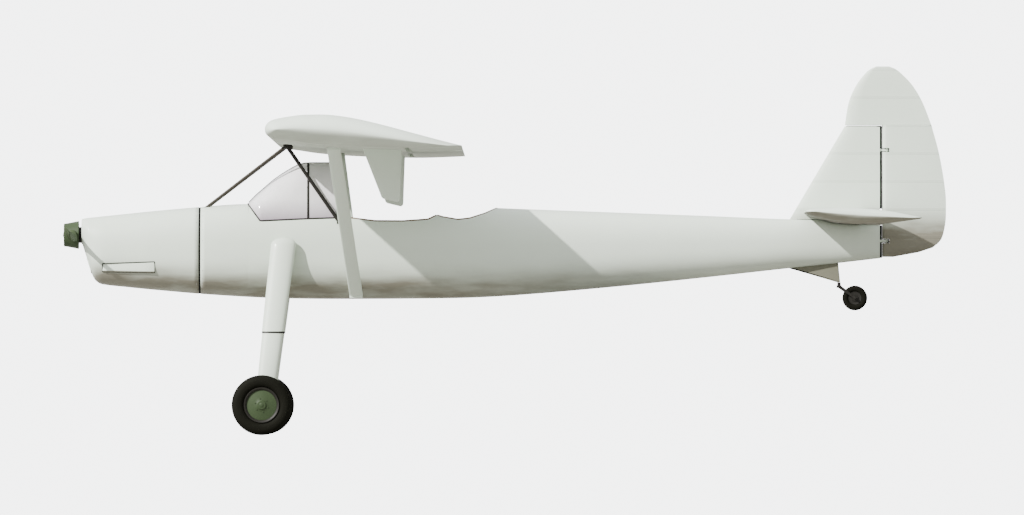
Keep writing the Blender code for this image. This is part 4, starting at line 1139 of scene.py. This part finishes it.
# Near-black strips fill the gaps round the rudder as painted shade.
gap_shade_strips = [rounded_box((fin_rear_x - 0.003, -0.003, low), (gap_rear, 0.003, high), 0.0008, 1)
         for low, high in ((1.470, 1.797), (1.962, 2.786))]
for z in rudder_lug_heights:
    low, high = (gap_rear - 0.003, -0.003, z - 0.0194), (rudder_x + 0.0270, 0.003, z + 0.0194)
    gap_shade_strips.append(rounded_box(low, high, 0.0008, 1))
for front, half, low in ((5.834, 0.026, 2.780), (6.000, 0.0345, 2.7805)):
    gap_shade_strips.append(rounded_box((front, -half, low), (gap_rear - 0.004, half, 2.7932), 0.002, 1))
finished(gap_shade_strips, "rudder_gap_shade_strips", seam_black)

# %% The rudder
rudder_nose, edge_half = 0.0445, 0.003
# Columns: z, rear x, half thickness
rudder_rows = [
    (1.480, 6.300, 0.030), (1.500, 6.430, 0.036), (1.556, 6.660, 0.045), (1.639, 6.770, 0.045),
    (1.725, 6.807, 0.045), (1.897, 6.830, 0.045), (2.121, 6.825, 0.045), (2.500, 6.764, 0.045),
    (2.797, 6.685, 0.045),
]
# Columns: z, front x, rear x, half thickness
horn_rows = [
    (2.797, 5.818, 6.685, 0.045), (3.033, 5.860, 6.592, 0.042), (3.206, 5.938, 6.487, 0.036),
    (3.335, 6.041, 6.360, 0.026), (3.375, 6.100, 6.300, 0.016), (3.386, 6.130, 6.262, 0.010),
]


def rudder_loop(z, trim):
    """A level of the rudder: forward along the left, round the nose, and back along the right."""
    _, rear, half = smooth_row(rudder_rows, z)
    left = [(between(rear, rudder_x, share), -between(edge_half, half, share**0.8), z) for share in shares(8)]
    turns = [-pi / 2 - pi * share for share in shares(16)[1:-1]]
    nose = [(rudder_x + rudder_nose * cos(turn), half * sin(turn), z) for turn in turns]
    loop = left + nose + [(x, -y, z) for x, y, z in reversed(left)]
    return [(max(x, rudder_x + cut_back), y, z) for x, y, z in loop] if trim else loop


def horn_loop(z):
    _, front, rear, half = smooth_row(horn_rows, z)
    left = []
    for share in [share ** 1.5 for share in shares(16)]:
        out = min(1.0, 3.6 * share**0.6)
        left.append((between(front, rear, share), -half * max(out * (1 - share), 0.07) ** 0.6, z))
    return left + [(x, -y, z) for x, y, z in reversed(left)]


levels = []
for low, high, trim in ((1.480, 1.6197, False), (1.6203, 1.6597, True), (1.6603, 2.5297, False),
                        (2.5303, 2.5697, True), (2.5703, 2.797, False)):
    levels += [rudder_loop(z, trim) for z in evenly(low, high, 0.045)]
horn = lofted([horn_loop(z) for z in evenly(2.7975, 3.386, 0.0245)])
finished([lofted(levels), horn], "rudder_skin", tail_cloth, "rudder", crease=30, body="rudder")

# %% [markdown]
# ## Legs and wheels
# The main legs are long oleo legs in streamlined sleeves: a fixed upper sleeve, and a narrower
# lower one that slides in it, so a dark line shows where they meet. The leg's top is a rounded
# knuckle on the fuselage side, and a brace runs from the belly to the leg's middle.

# %% The legs
leg_top, leg_foot, leg_split_z = Vector((0.210, 0.490, 1.600)), Vector((0.014, 0.985, -0.045)), 0.735
leg_split = leg_top.lerp(leg_foot, (leg_top.z - leg_split_z) / (leg_top.z - leg_foot.z))
leg_crown = leg_top + (leg_top - leg_foot).normalized() * 0.075
down_leg = (leg_foot - leg_split).normalized()
# Chord and thickness at the top, at the split, below the split and at the foot
top_size, split_size, below_size, foot_size = (0.250, 0.116), (0.218, 0.100), (0.206, 0.090), (0.176, 0.074)


def sleeve(rows, side):
    """A streamlined sleeve through rows of (centre, (chord, thickness))."""
    return lofted([[(centre.x + chord / 2 * cos(turn), side * (centre.y + thick / 2 * sin(turn)), centre.z)
                    for turn in ring(40)] for centre, (chord, thick) in rows])


def tapered(start, end, size, end_size, share):
    return start.lerp(end, share), [between(a, b, share) for a, b in zip(size, end_size)]


crown = []
for share in reversed(shares(10)[:-1]):
    width = cos(pi / 2 * share)
    size = (max(top_size[0] * width, 0.05), max(top_size[1] * width, 0.03))
    crown.append((leg_top.lerp(leg_crown, sin(pi / 2 * share)), size))
upper_rows = crown + [tapered(leg_top, leg_split, top_size, split_size, share) for share in shares(12)[1:]]
ring_rows = [(leg_split + down_leg * down, size) for down, size in (
    (-0.004, (0.216, 0.098)), (0.004, (0.219, 0.101)), (0.016, (0.219, 0.101)), (0.020, (0.208, 0.092)))]
below = leg_split + down_leg * 0.012
lower_rows = [tapered(below, leg_foot, below_size, foot_size, share) for share in shares(14)]
lower_rows.append((leg_foot + Vector((0, 0, -0.012)), (0.140, 0.045)))
stub_x, stub_z = 0.205, 1.560
for name, side in sides:
    stub = round_bar((stub_x, side * 0.415, stub_z), (stub_x, side * 0.500, stub_z), 0.050, 32)
    flange = spun([(0.0, -0.010), (0.085, -0.010), (0.088, -0.006), (0.088, 0.002), (0.0, 0.004)], 40)
    moved(flange, side_on((stub_x, side * (half_width_at(stub_x, stub_z) + 0.004), stub_z), side))
    brace = round_bar((0.118, side * 0.250, 1.094), (0.118, side * 0.735, 0.800), 0.022)
    upper = [sleeve(upper_rows, side), stub, flange, brace]
    finished(upper, "leg_upper_sleeve_" + name, leg_paint, "leg_upper_" + name, crease=40)
    finished(sleeve(ring_rows, side), "leg_wiper_ring_" + name, trim_black)
    axle = round_bar((0, side * 0.960, 0), (0, side * (half_track + 0.030), 0), 0.0218, 32)
    lower = [sleeve(lower_rows, side), axle]
    finished(lower, "leg_lower_sleeve_" + name, leg_paint, "leg_lower_" + name, crease=40)
    # The wheel's brake plate stands between the leg and the wheel
    brake_plate = spun([(0.0, 0.0), (0.115, 0.0), (0.120, 0.004), (0.120, 0.014), (0.0, 0.018)], 48)
    moved(brake_plate, side_on((0, side * (half_track - 0.084), 0), -side))
    finished(brake_plate, "brake_plate_" + name, trim_black, crease=30)

# %% [markdown]
# ## Tyres and wheel discs
# A tyre is a turned shape, so its section is spun about the axle. An aircraft tyre has plain
# grooves round it and no blocks. The wheel disc is dished and painted olive, with a black rim and
# a cap over the axle, as the reference shows.

# %% Tyres and wheels
def tyre_outline(outer, inner, half_width, grooves, depth=0.005):
    """The tyre's section as (radius, height) points, round the outside with grooves in the tread."""
    middle, high = (outer + inner) / 2, (outer - inner) / 2
    points = []
    for share in shares(120):
        angle = 0.86 * pi * (2 * share - 1)
        height = half_width * sin(angle)
        radius = middle + high * signed_power(cos(angle), 0.86)
        in_groove = cos(angle) > 0.55 and any(abs(height - groove) < 0.0035 for groove in grooves)
        points.append((radius - (depth if in_groove else 0.0), height))
    return points + [points[0]]


wheel_outline = [
    (0.0232, -0.050), (0.110, -0.050), (0.150, -0.052), (0.164, -0.056), (0.172, -0.050), (0.1735, -0.034),
    (0.1735, 0.034), (0.170, 0.048), (0.169, 0.055), (0.166, 0.059), (0.160, 0.058), (0.157, 0.050),
    (0.150, 0.046), (0.120, 0.052), (0.080, 0.060), (0.050, 0.064), (0.046, 0.067), (0.040, 0.074),
    (0.0232, 0.0755), (0.0232, -0.050),
]
cap_outline = [(0.0, 0.0740), (0.0228, 0.0740), (0.0228, 0.0765), (0.018, 0.0795), (0.0, 0.0800)]
rim_outline = [
    (0.1500, 0.0470), (0.1560, 0.0475), (0.1600, 0.0530), (0.1700, 0.0550), (0.1725, 0.0330),
    (0.1765, 0.0330), (0.1775, 0.0560), (0.1770, 0.0610), (0.1735, 0.0650), (0.1640, 0.0640),
    (0.1560, 0.0560), (0.1500, 0.0500), (0.1500, 0.0470),
]
grooves = (-0.042, -0.021, 0.0, 0.021, 0.042)
nut_circle = 0.066
for name, side in sides:
    at_wheel = side_on(joint_place("wheel_%s_spin" % name), side)
    on_axle = {"body": "main_wheel_" + name, "place": at_wheel}
    tyre = spun(tyre_outline(0.2995, 0.1650, 0.0745, grooves), 96)
    finished(tyre, "tyre_ribbed_" + name, tyre_rubber, "tyre_" + name, crease=50, **on_axle)
    disc = [spun(wheel_outline, 96), spun(cap_outline, 32)]
    for turn in ring(6):
        nut_at = (nut_circle * cos(turn + pi / 6), nut_circle * sin(turn + pi / 6), 0.0635)
        disc.append(bolt(nut_at, (0, 0, 1), 0.0075, 0.008))
    finished(disc, "wheel_disc_" + name, olive_paint, "wheel_" + name, crease=35, **on_axle)
    finished(spun(rim_outline, 96), "wheel_rim_bead_" + name, trim_black, crease=40, **on_axle)

# %% [markdown]
# ## The tail wheel
# A thin plate under the tail carries a castoring fork. The fork's two blades hold a small solid
# tyre on a steel hub, and everything under the plate swivels.

# %% Tail plate, fork and wheel
pylon_outline = [(5.266, 1.3715), (5.266, 1.366), (5.748, 1.2253), (5.772, 1.2253), (5.752, 1.4230)]
pylon = side_plate(pylon_outline, 0.0, 0.058, 0.012)
finished(pylon, "tail_pylon_plate", tail_plate_shade_paint, "tail_pylon", crease=40)

tail_axle = level_joint("tail_wheel_spin")
swivel_x = level_joint("tail_swivel_turn").x
fork_parts = [round_bar((swivel_x, 0, 1.190), (swivel_x, 0, 1.2245), 0.0178),
              rounded_box((swivel_x - 0.024, -0.056, 1.172), (swivel_x + 0.026, 0.056, 1.196), 0.006, 3)]
for _, side in sides:
    start = Vector((swivel_x, side * 0.047, 1.186))
    end = Vector((tail_axle.x + 0.010, side * 0.047, tail_axle.z - 0.006))
    upright = (end - start).normalized().cross(Vector((0, 1, 0)))
    blade_loops = []
    for share in shares(12):
        wide = 0.034 - 0.010 * share + (0.008 if share > 0.9 else 0.0)
        blade_loops.append([start.lerp(end, share) + upright * wide / 2 * cos(turn)
                            + Vector((0, 0.0065 * sin(turn), 0)) for turn in ring(16)])
    fork_parts.append(lofted(blade_loops))
axle_half = Vector((0, 0.056, 0))
fork_parts.append(round_bar(tail_axle - axle_half, tail_axle + axle_half, 0.0088))
for _, side in sides:
    fork_parts.append(bolt(tail_axle + Vector((0, side * 0.054, 0)), (0, side, 0), 0.0125, 0.009))
finished(fork_parts, "tail_fork_blades", trim_black, "tail_fork", crease=40, body="tail_swivel")

on_axle = {"body": "tail_wheel_set", "place": side_on(joint_place("tail_wheel_spin"), -1)}
small_tyre = spun(tyre_outline(0.1248, 0.0600, 0.0305, (-0.009, 0.009), 0.0025), 72)
finished(small_tyre, "tail_tyre_solid", tyre_rubber, "tail_tyre", crease=50, **on_axle)
hub_side = [(0.0098, 0.030), (0.030, 0.030), (0.034, 0.022), (0.050, 0.020), (0.0655, 0.024)]
hub_outline = [(r, -z) for r, z in hub_side] + list(reversed(hub_side)) + [(0.0098, -0.030)]
finished(spun(hub_outline, 64), "tail_wheel_hub", trim_black, "tail_wheel", crease=35, **on_axle)

# %% [markdown]
# ## Exhaust collectors and chin intake
# The exhaust leaves through a long flat fairing low on each side of the cowl, open at its rear
# end. It is a loft that grows out of the cowl towards the tail. The intake under the shaft is cut
# into the cowl's sloping front with bisecting planes, and gets a rolled lip and a grille.

# %% The exhaust collectors
collector_front, collector_rear = -1.600, -1.080


def rounded_rectangle(rows, radius, count):
    """Rounded corners as (y, z), from rows of (corner y, corner z, side of y, side of z)."""
    points = []
    for quarter, (y, z, side_y, side_z) in enumerate(rows):
        for share in shares(count - 1):
            turn = pi / 2 * (quarter + share)
            points.append((y + radius * (cos(turn) - side_y), z + radius * (sin(turn) - side_z)))
    return points


def collector_loop(x, side, shrink=0.0):
    """A rounded rectangle across the flow: proud of the cowl outside, buried in it inside."""
    share = (x - collector_front) / (collector_rear - collector_front)
    top = between(1.413, 1.430, share) - shrink
    bottom = between(1.332, 1.322, share) + shrink
    out = between(0.262, 0.352, share) - shrink
    inner = out - 0.070 + 2 * shrink
    rows = ((out, top, 1, 1), (inner, top, -1, 1), (inner, bottom, -1, -1), (out, bottom, 1, -1))
    return [(x, side * y, z) for y, z in rounded_rectangle(rows, max(0.016 - shrink, 0.004), 10)]


def on_cowl(x, z, side):
    return Vector((x, side * (half_width_at(x, z) + 0.002), z))


outside_rows = ([(-1.600, 0.010), (-1.594, 0.002)] + [(x, 0.0) for x in evenly(-1.585, -1.086, 0.10)]
                + [(-1.080, 0.003)])
inside_rows = [(x, 0.010) for x in (-1.080, -1.090, -1.150, -1.200)]
soot_and_shade_rows = ((-1.086, 0.0135), (-1.160, 0.0135), (-1.160, 0.020), (-1.090, 0.020))
for name, side in sides:
    collector = lofted([collector_loop(x, side, shrink) for x, shrink in outside_rows + inside_rows])
    finished(collector, "exhaust_collector_" + name, skin_paint, "exhaust_" + name, crease=40)
    # The near-black lining in the open rear end is soot, and painted shade in the opening.
    soot_and_shade = lofted([collector_loop(x, side, shrink) for x, shrink in soot_and_shade_rows])
    finished(soot_and_shade, "exhaust_soot_and_shade_lining_" + name, seam_black, crease=40)
    beads = []
    for z_front, z_rear in ((1.4135, 1.4305), (1.3315, 1.3215)):
        heights = [between(z_front, z_rear, share) for share in shares(20)]
        xs = evenly(collector_front, collector_rear, 0.026)
        beads.append([on_cowl(x, z, side) for x, z in zip(xs, heights)])
    for end in (0, -1):
        high, low = beads[0][end], beads[1][end]
        beads.append([on_cowl(high.x, between(low.z, high.z, share), side) for share in shares(8)])
    finished([swept_tube(bead, 0.0045) for bead in beads], "exhaust_gasket_" + name, seam_black)

# %% The chin intake
intake_half, intake_low, intake_high = 0.108, 1.332, 1.448
intake_behind = -1.55


def chin_x(y, z):
    """Where the cowl's sloping front has this y and z, found by halving."""
    front, back = nose_x, -1.560
    for _ in range(30):
        x = (front + back) / 2
        if abs(y) < half_width_at(x, z):
            back = x
        else:
            front = x
    return back


cut = bmesh.new()
cut.from_mesh(cowl.data)
moved(cut, level)
for at, normal in (((0, intake_half, 0), (0, 1, 0)), ((0, -intake_half, 0), (0, 1, 0)),
                   ((0, 0, intake_low), (0, 0, 1)), ((0, 0, intake_high), (0, 0, 1))):
    near = [f for f in cut.faces if f.calc_center_median().x < intake_behind]
    edges, verts = {e for f in near for e in f.edges}, {v for f in near for v in f.verts}
    bmesh.ops.bisect_plane(cut, geom=near + list(edges) + list(verts), plane_co=at, plane_no=normal)
middles = {f: f.calc_center_median() for f in cut.faces}
gone = [f for f, c in middles.items()
        if abs(c.y) < intake_half and intake_low < c.z < intake_high and c.x < intake_behind]
bmesh.ops.delete(cut, geom=gone, context="FACES")
moved(cut, parked).to_mesh(cowl.data)
cut.free()
cowl.data.shade_smooth()
print("cowl faces cut away for the intake:", len(gone))


def intake_loop(deeper, grow):
    """A rounded rectangle on the cowl's slope, deeper along +X or grown outwards."""
    rows = [(side_y * (intake_half + grow), z + side_z * grow, side_y, side_z) for side_y, z, side_z in (
        (1, intake_high, 1), (-1, intake_high, 1), (-1, intake_low, -1), (1, intake_low, -1))]
    return [(chin_x(y, z) + deeper, y, z) for y, z in rounded_rectangle(rows, 0.022 + grow, 8)]


lip = [intake_loop(deeper, grow) for deeper, grow in (
    (0.080, -0.002), (0.020, -0.002), (0.004, -0.001), (-0.005, 0.003), (-0.0085, 0.008), (-0.0085, 0.012),
    (-0.006, 0.016), (0.004, 0.018), (0.012, 0.014), (0.080, 0.002),
)]
finished(lofted(lip + lip[:1], ends=False), "intake_lip", skin_paint, crease=40)
slats = []
for y in evenly(-0.098, 0.098, 0.0098):
    x = chin_x(y, (intake_low + intake_high) / 2) + 0.045
    low, high = (x, y - 0.0015, intake_low + 0.002), (x + 0.024, y + 0.0015, intake_high - 0.002)
    slats.append(rounded_box(low, high, 0.0008, 1))
for z in (1.362, 1.390, 1.418):
    x = chin_x(0.0, 1.390) + 0.056
    slats.append(rounded_box((x, -0.105, z - 0.002), (x + 0.012, 0.105, z + 0.002), 0.001, 1))
finished(slats, "intake_grille", engine_paint, crease=40)

# %% [markdown]
# ## Inside the cockpits
# Both cockpits are open at the top, so their floor, panels, seats and stick can be seen from
# above. The reference hides them, so they follow what such trainers have: plain painted panels
# with round dials, leather bucket seats with sewn cushions, and a stick on a floor tube.

# %% Paint for the plain CAD pieces that stay
for node, paint in (("cockpit_floor", cockpit_paint), ("front_panel", cockpit_paint),
                    ("rear_panel", cockpit_paint), ("engine_block", engine_paint)):
    bpy.data.objects[node].material_slots[0].material = paint

# %% Dials on the instrument panels
def turned_strip(start, end, half, low, high, degrees):
    """A thin strip along a dial's radius, turned about its middle."""
    strip = rounded_box((start, -half, low), (end, half, high), 0.0003, 1)
    return moved(strip, Matrix.Rotation(radians(degrees), 4, "Z"))


def dial(at, radius, needle_turn):
    """A dial's black case with its raised ring, and its pale marks and needle, facing the tail."""
    case = spun([(0, 0.0), (radius, 0.0), (radius, 0.006), (radius * 0.96, 0.0078), (radius * 0.90, 0.0078),
                 (radius * 0.87, 0.0050), (0, 0.0050)], 40)
    marks = [turned_strip(radius * 0.68, radius * 0.82, 0.0011, 0.0049, 0.0056, 30 + 33.3 * i)
             for i in range(10)]
    marks.append(turned_strip(-radius * 0.18, radius * 0.70, 0.0012, 0.0054, 0.0062, needle_turn))
    return moved(case, tail_on(at)), [moved(mark, tail_on(at)) for mark in marks]


# Columns: y, z, radius, turn of the needle in degrees
dials = [
    (-0.105, 1.752, 0.040, 40), (0.0, 1.758, 0.042, 110), (0.105, 1.752, 0.040, 200),
    (-0.196, 1.738, 0.028, 70), (0.196, 1.738, 0.028, 150), (-0.150, 1.662, 0.030, 20),
    (-0.052, 1.662, 0.032, 300), (0.052, 1.662, 0.032, 250), (0.150, 1.662, 0.030, 90),
]
for name, x, drop in (("front", 0.3202, 0.0), ("rear", 1.7802, 0.010)):
    cases, marks = [], []
    for y, z, radius, turn in dials:
        case, its_marks = dial((x, y, z - drop), radius, turn)
        cases.append(case)
        marks += its_marks
    for y in (-0.105, -0.075, 0.075, 0.105):
        cases.append(block((x + 0.007, y, 1.611 - drop), (0.014, 0.008, 0.014), 0.002))
    finished(cases, name + "_panel_dials", trim_black, crease=35)
    finished(marks, name + "_panel_dial_marks", dial_marks, crease=35)

# %% [markdown]
# The seats are shaped buckets: one wall runs from the left arm round the back to the right arm,
# low at the arms and high behind, with a rolled rim. The pan is a flat shelf inside it.

# %% Bucket seats
seats = (("front", 0.960), ("rear", 1.985))


def seat_plan(share, inset=0.0):
    """A point of the bucket's outline from above: left arm, round the back, right arm."""
    half, deep, bend = 0.203 - inset, 0.418 - inset, 0.090 - inset
    straight, corner, half_back = deep - bend, bend * pi / 2, half - bend
    half_way = straight + corner + half_back
    along = half_way * (1 - abs(2 * share - 1))
    side = -1 if share < 0.5 else 1
    if along < straight:
        return Vector((along, side * half, 0))
    if along < straight + corner:
        turn = (along - straight) / bend
        return Vector((straight + bend * sin(turn), side * (half_back + bend * cos(turn)), 0))
    return Vector((deep, side * (half_way - along), 0))


def seat_wall():
    """The wall as a sheet up the outside, over the rolled rim and down the inside."""
    base, rim_radius = 1.1756, 0.008

    def surface(u, v):
        from_back = min(max((seat_plan(u).x - 0.250) / 0.140, 0.0), 1.0)
        shoulder = between(1.536, 1.686, from_back * from_back * (3 - 2 * from_back)) - rim_radius
        if v < 0.45:
            inset, z = 0.0, between(base, shoulder, v / 0.45)
        elif v < 0.55:
            turn = pi * (v - 0.45) / 0.10
            inset, z = rim_radius * (1 - cos(turn)), shoulder + rim_radius * sin(turn)
        else:
            inset, z = 2 * rim_radius, between(shoulder, base, (v - 0.55) / 0.45)
        return seat_plan(u, inset) + Vector((0, 0, z))

    return close_ends(laid_sheet(72, 40, surface))


for name, x in seats:
    bucket = [seat_wall(), rounded_box((0.004, -0.188, 1.382), (0.403, 0.188, 1.3995), 0.006, 3),
              rounded_box((0.004, -0.188, 1.180), (0.018, 0.188, 1.388), 0.005, 3)]
    bucket += [bolt((0.0035, y, 1.372), (-1, 0, 0), 0.004, 0.003) for y in evenly(-0.165, 0.165, 0.055)]
    in_place = parked @ Matrix.Translation((x, 0, 0))
    finished(bucket, name + "_seat_bucket", leather, name + "_seat", crease=40, place=in_place)

# %% [markdown]
# The cushions are the only padded parts. Each starts as a slim block with rounded corners, and
# Blender's cloth simulation blows it up slightly, as stuffing does, with the movement capped.
# Then the sewn channels are pressed in along lines. One pan cushion and one back cushion are
# simulated, and both seats use copies of them.

# %% Plump cushions by simulation
def plumped(low, high, radius, cap):
    """A padded block: voxel remesh, cloth with pressure for 20 frames, capped movement."""
    frames = 20
    pad = linked("cushion start", as_mesh(rounded_box(low, high, radius, 4), "cushion start"))
    remesh = pad.modifiers.new("even", "REMESH")
    remesh.mode, remesh.voxel_size = "VOXEL", 0.0065
    graph = bpy.context.evaluated_depsgraph_get()
    even = bpy.data.meshes.new_from_object(pad.evaluated_get(graph))
    pad.modifiers.clear()
    pad.data = even
    start = [v.co.copy() for v in even.vertices]
    cloth = pad.modifiers.new("stuffing", "CLOTH")
    cloth.settings.use_pressure = True
    cloth.settings.uniform_pressure_force = 4.0
    cloth.settings.effector_weights.gravity = 0.0
    cloth.settings.quality = 5
    cloth.point_cache.frame_start, cloth.point_cache.frame_end = 1, frames
    for frame_number in range(1, frames + 1):
        bpy.context.scene.frame_set(frame_number)
    graph = bpy.context.evaluated_depsgraph_get()
    swollen = pad.evaluated_get(graph).to_mesh()
    ends = [v.co.copy() for v in swollen.vertices]
    pad.evaluated_get(graph).to_mesh_clear()
    pad.modifiers.clear()
    bpy.context.scene.frame_set(1)
    for vert, begin, end in zip(even.vertices, start, ends):
        move = end - begin
        vert.co = begin + move * min(1.0, cap / max(move.length, 1e-9))
    bm = bmesh.new()
    bm.from_mesh(even)
    bpy.data.objects.remove(pad)
    bmesh.ops.smooth_vert(bm, verts=bm.verts, factor=0.5, use_axis_x=True, use_axis_y=True, use_axis_z=True)
    return bm


def sewn(bm, depth, upper):
    """Presses the sewn channels in, on the side that faces upper."""
    channels, width = (-0.110, -0.037, 0.037, 0.110), 0.007
    bm.normal_update()
    moves = []
    for vert in bm.verts:
        press = max(depth * 2.718 ** (-((vert.co.y - y) / width) ** 2) for y in channels)
        moves.append((vert, -vert.normal * press * max(0.0, vert.normal.dot(upper))))
    for vert, move in moves:
        vert.co += move


pan_cushion = plumped((0.010, -0.172, -0.012), (0.335, 0.172, 0.046), 0.020, 0.014)
back_cushion = plumped((0.000, -0.165, 0.000), (0.040, 0.165, 0.205), 0.016, 0.010)
sewn(pan_cushion, 0.009, Vector((0, 0, 1)))
sewn(back_cushion, 0.007, Vector((-1, 0, 0)))
cushion_meshes = {"pan": as_mesh(pan_cushion, "cushion_pan"), "back": as_mesh(back_cushion, "cushion_back")}

# %% Cushions in place
pan_top, back_front = 1.4000, 0.3995
for name, x in seats:
    for kind, at in (("pan", (x + 0.010, 0, 1.4165)), ("back", (x + 0.342, 0, 1.470))):
        bm = bmesh.new()
        bm.from_mesh(cushion_meshes[kind])
        bmesh.ops.translate(bm, vec=at, verts=bm.verts)
        for vert in bm.verts:
            if kind == "pan":
                vert.co.z = max(vert.co.z, pan_top)
            else:
                vert.co.x = min(vert.co.x, x + back_front)
        cushion = finished(bm, "%s_seat_%s_cushion" % (name, kind), leather, crease=60)
        smooth = cushion.modifiers.new("smooth", "SUBSURF")
        smooth.levels, smooth.render_levels = 1, 1

# %% [markdown]
# The stick stands on a tube along the floor. It leans forward, away from the seat, and ends in a
# ribbed rubber grip.

# %% The control stick
stick_floor = 1.1938
stick_foot, stick_top = Vector((0.800, 0, stick_floor)), Vector((0.740, 0, 1.570))
stick = [swept_tube([Vector((x, 0, stick_floor)) for x in evenly(0.722, 0.928, 0.05)], 0.0185, 24),
         swept_tube([stick_foot.lerp(stick_top, share) for share in shares(10)], 0.0115, 20)]
for x in (0.735, 0.900):
    stick.append(swept_tube([Vector((x, 0, stick_floor)), Vector((x + 0.016, 0, stick_floor))], 0.0198, 24))
finished(stick, "control_stick_tube", trim_black, "control_sticks", crease=40)
boot = spun([(0.0, 0.0), (0.030, 0.0), (0.029, 0.008), (0.022, 0.014), (0.024, 0.020), (0.017, 0.028),
             (0.013, 0.036), (0.0, 0.036)], 32)
moved(boot, Matrix.Translation((0.7985, 0, stick_floor + 0.0155)))
finished(boot, "control_stick_boot", tyre_rubber, crease=40)
grip_outline = [(0.0, 0.0)]
for rib in range(12):
    low = 0.004 + rib * 0.008
    grip_outline += [(0.0150, low), (0.0165, low + 0.002), (0.0150, low + 0.004)]
grip_outline += [(0.0155, 0.102), (0.0120, 0.108), (0.0, 0.110)]
grip_at = standing(stick_top - Vector((0, 0, 0.022)), stick_top - stick_foot)
finished(moved(spun(grip_outline, 32), grip_at), "control_stick_grip", tyre_rubber, crease=40)
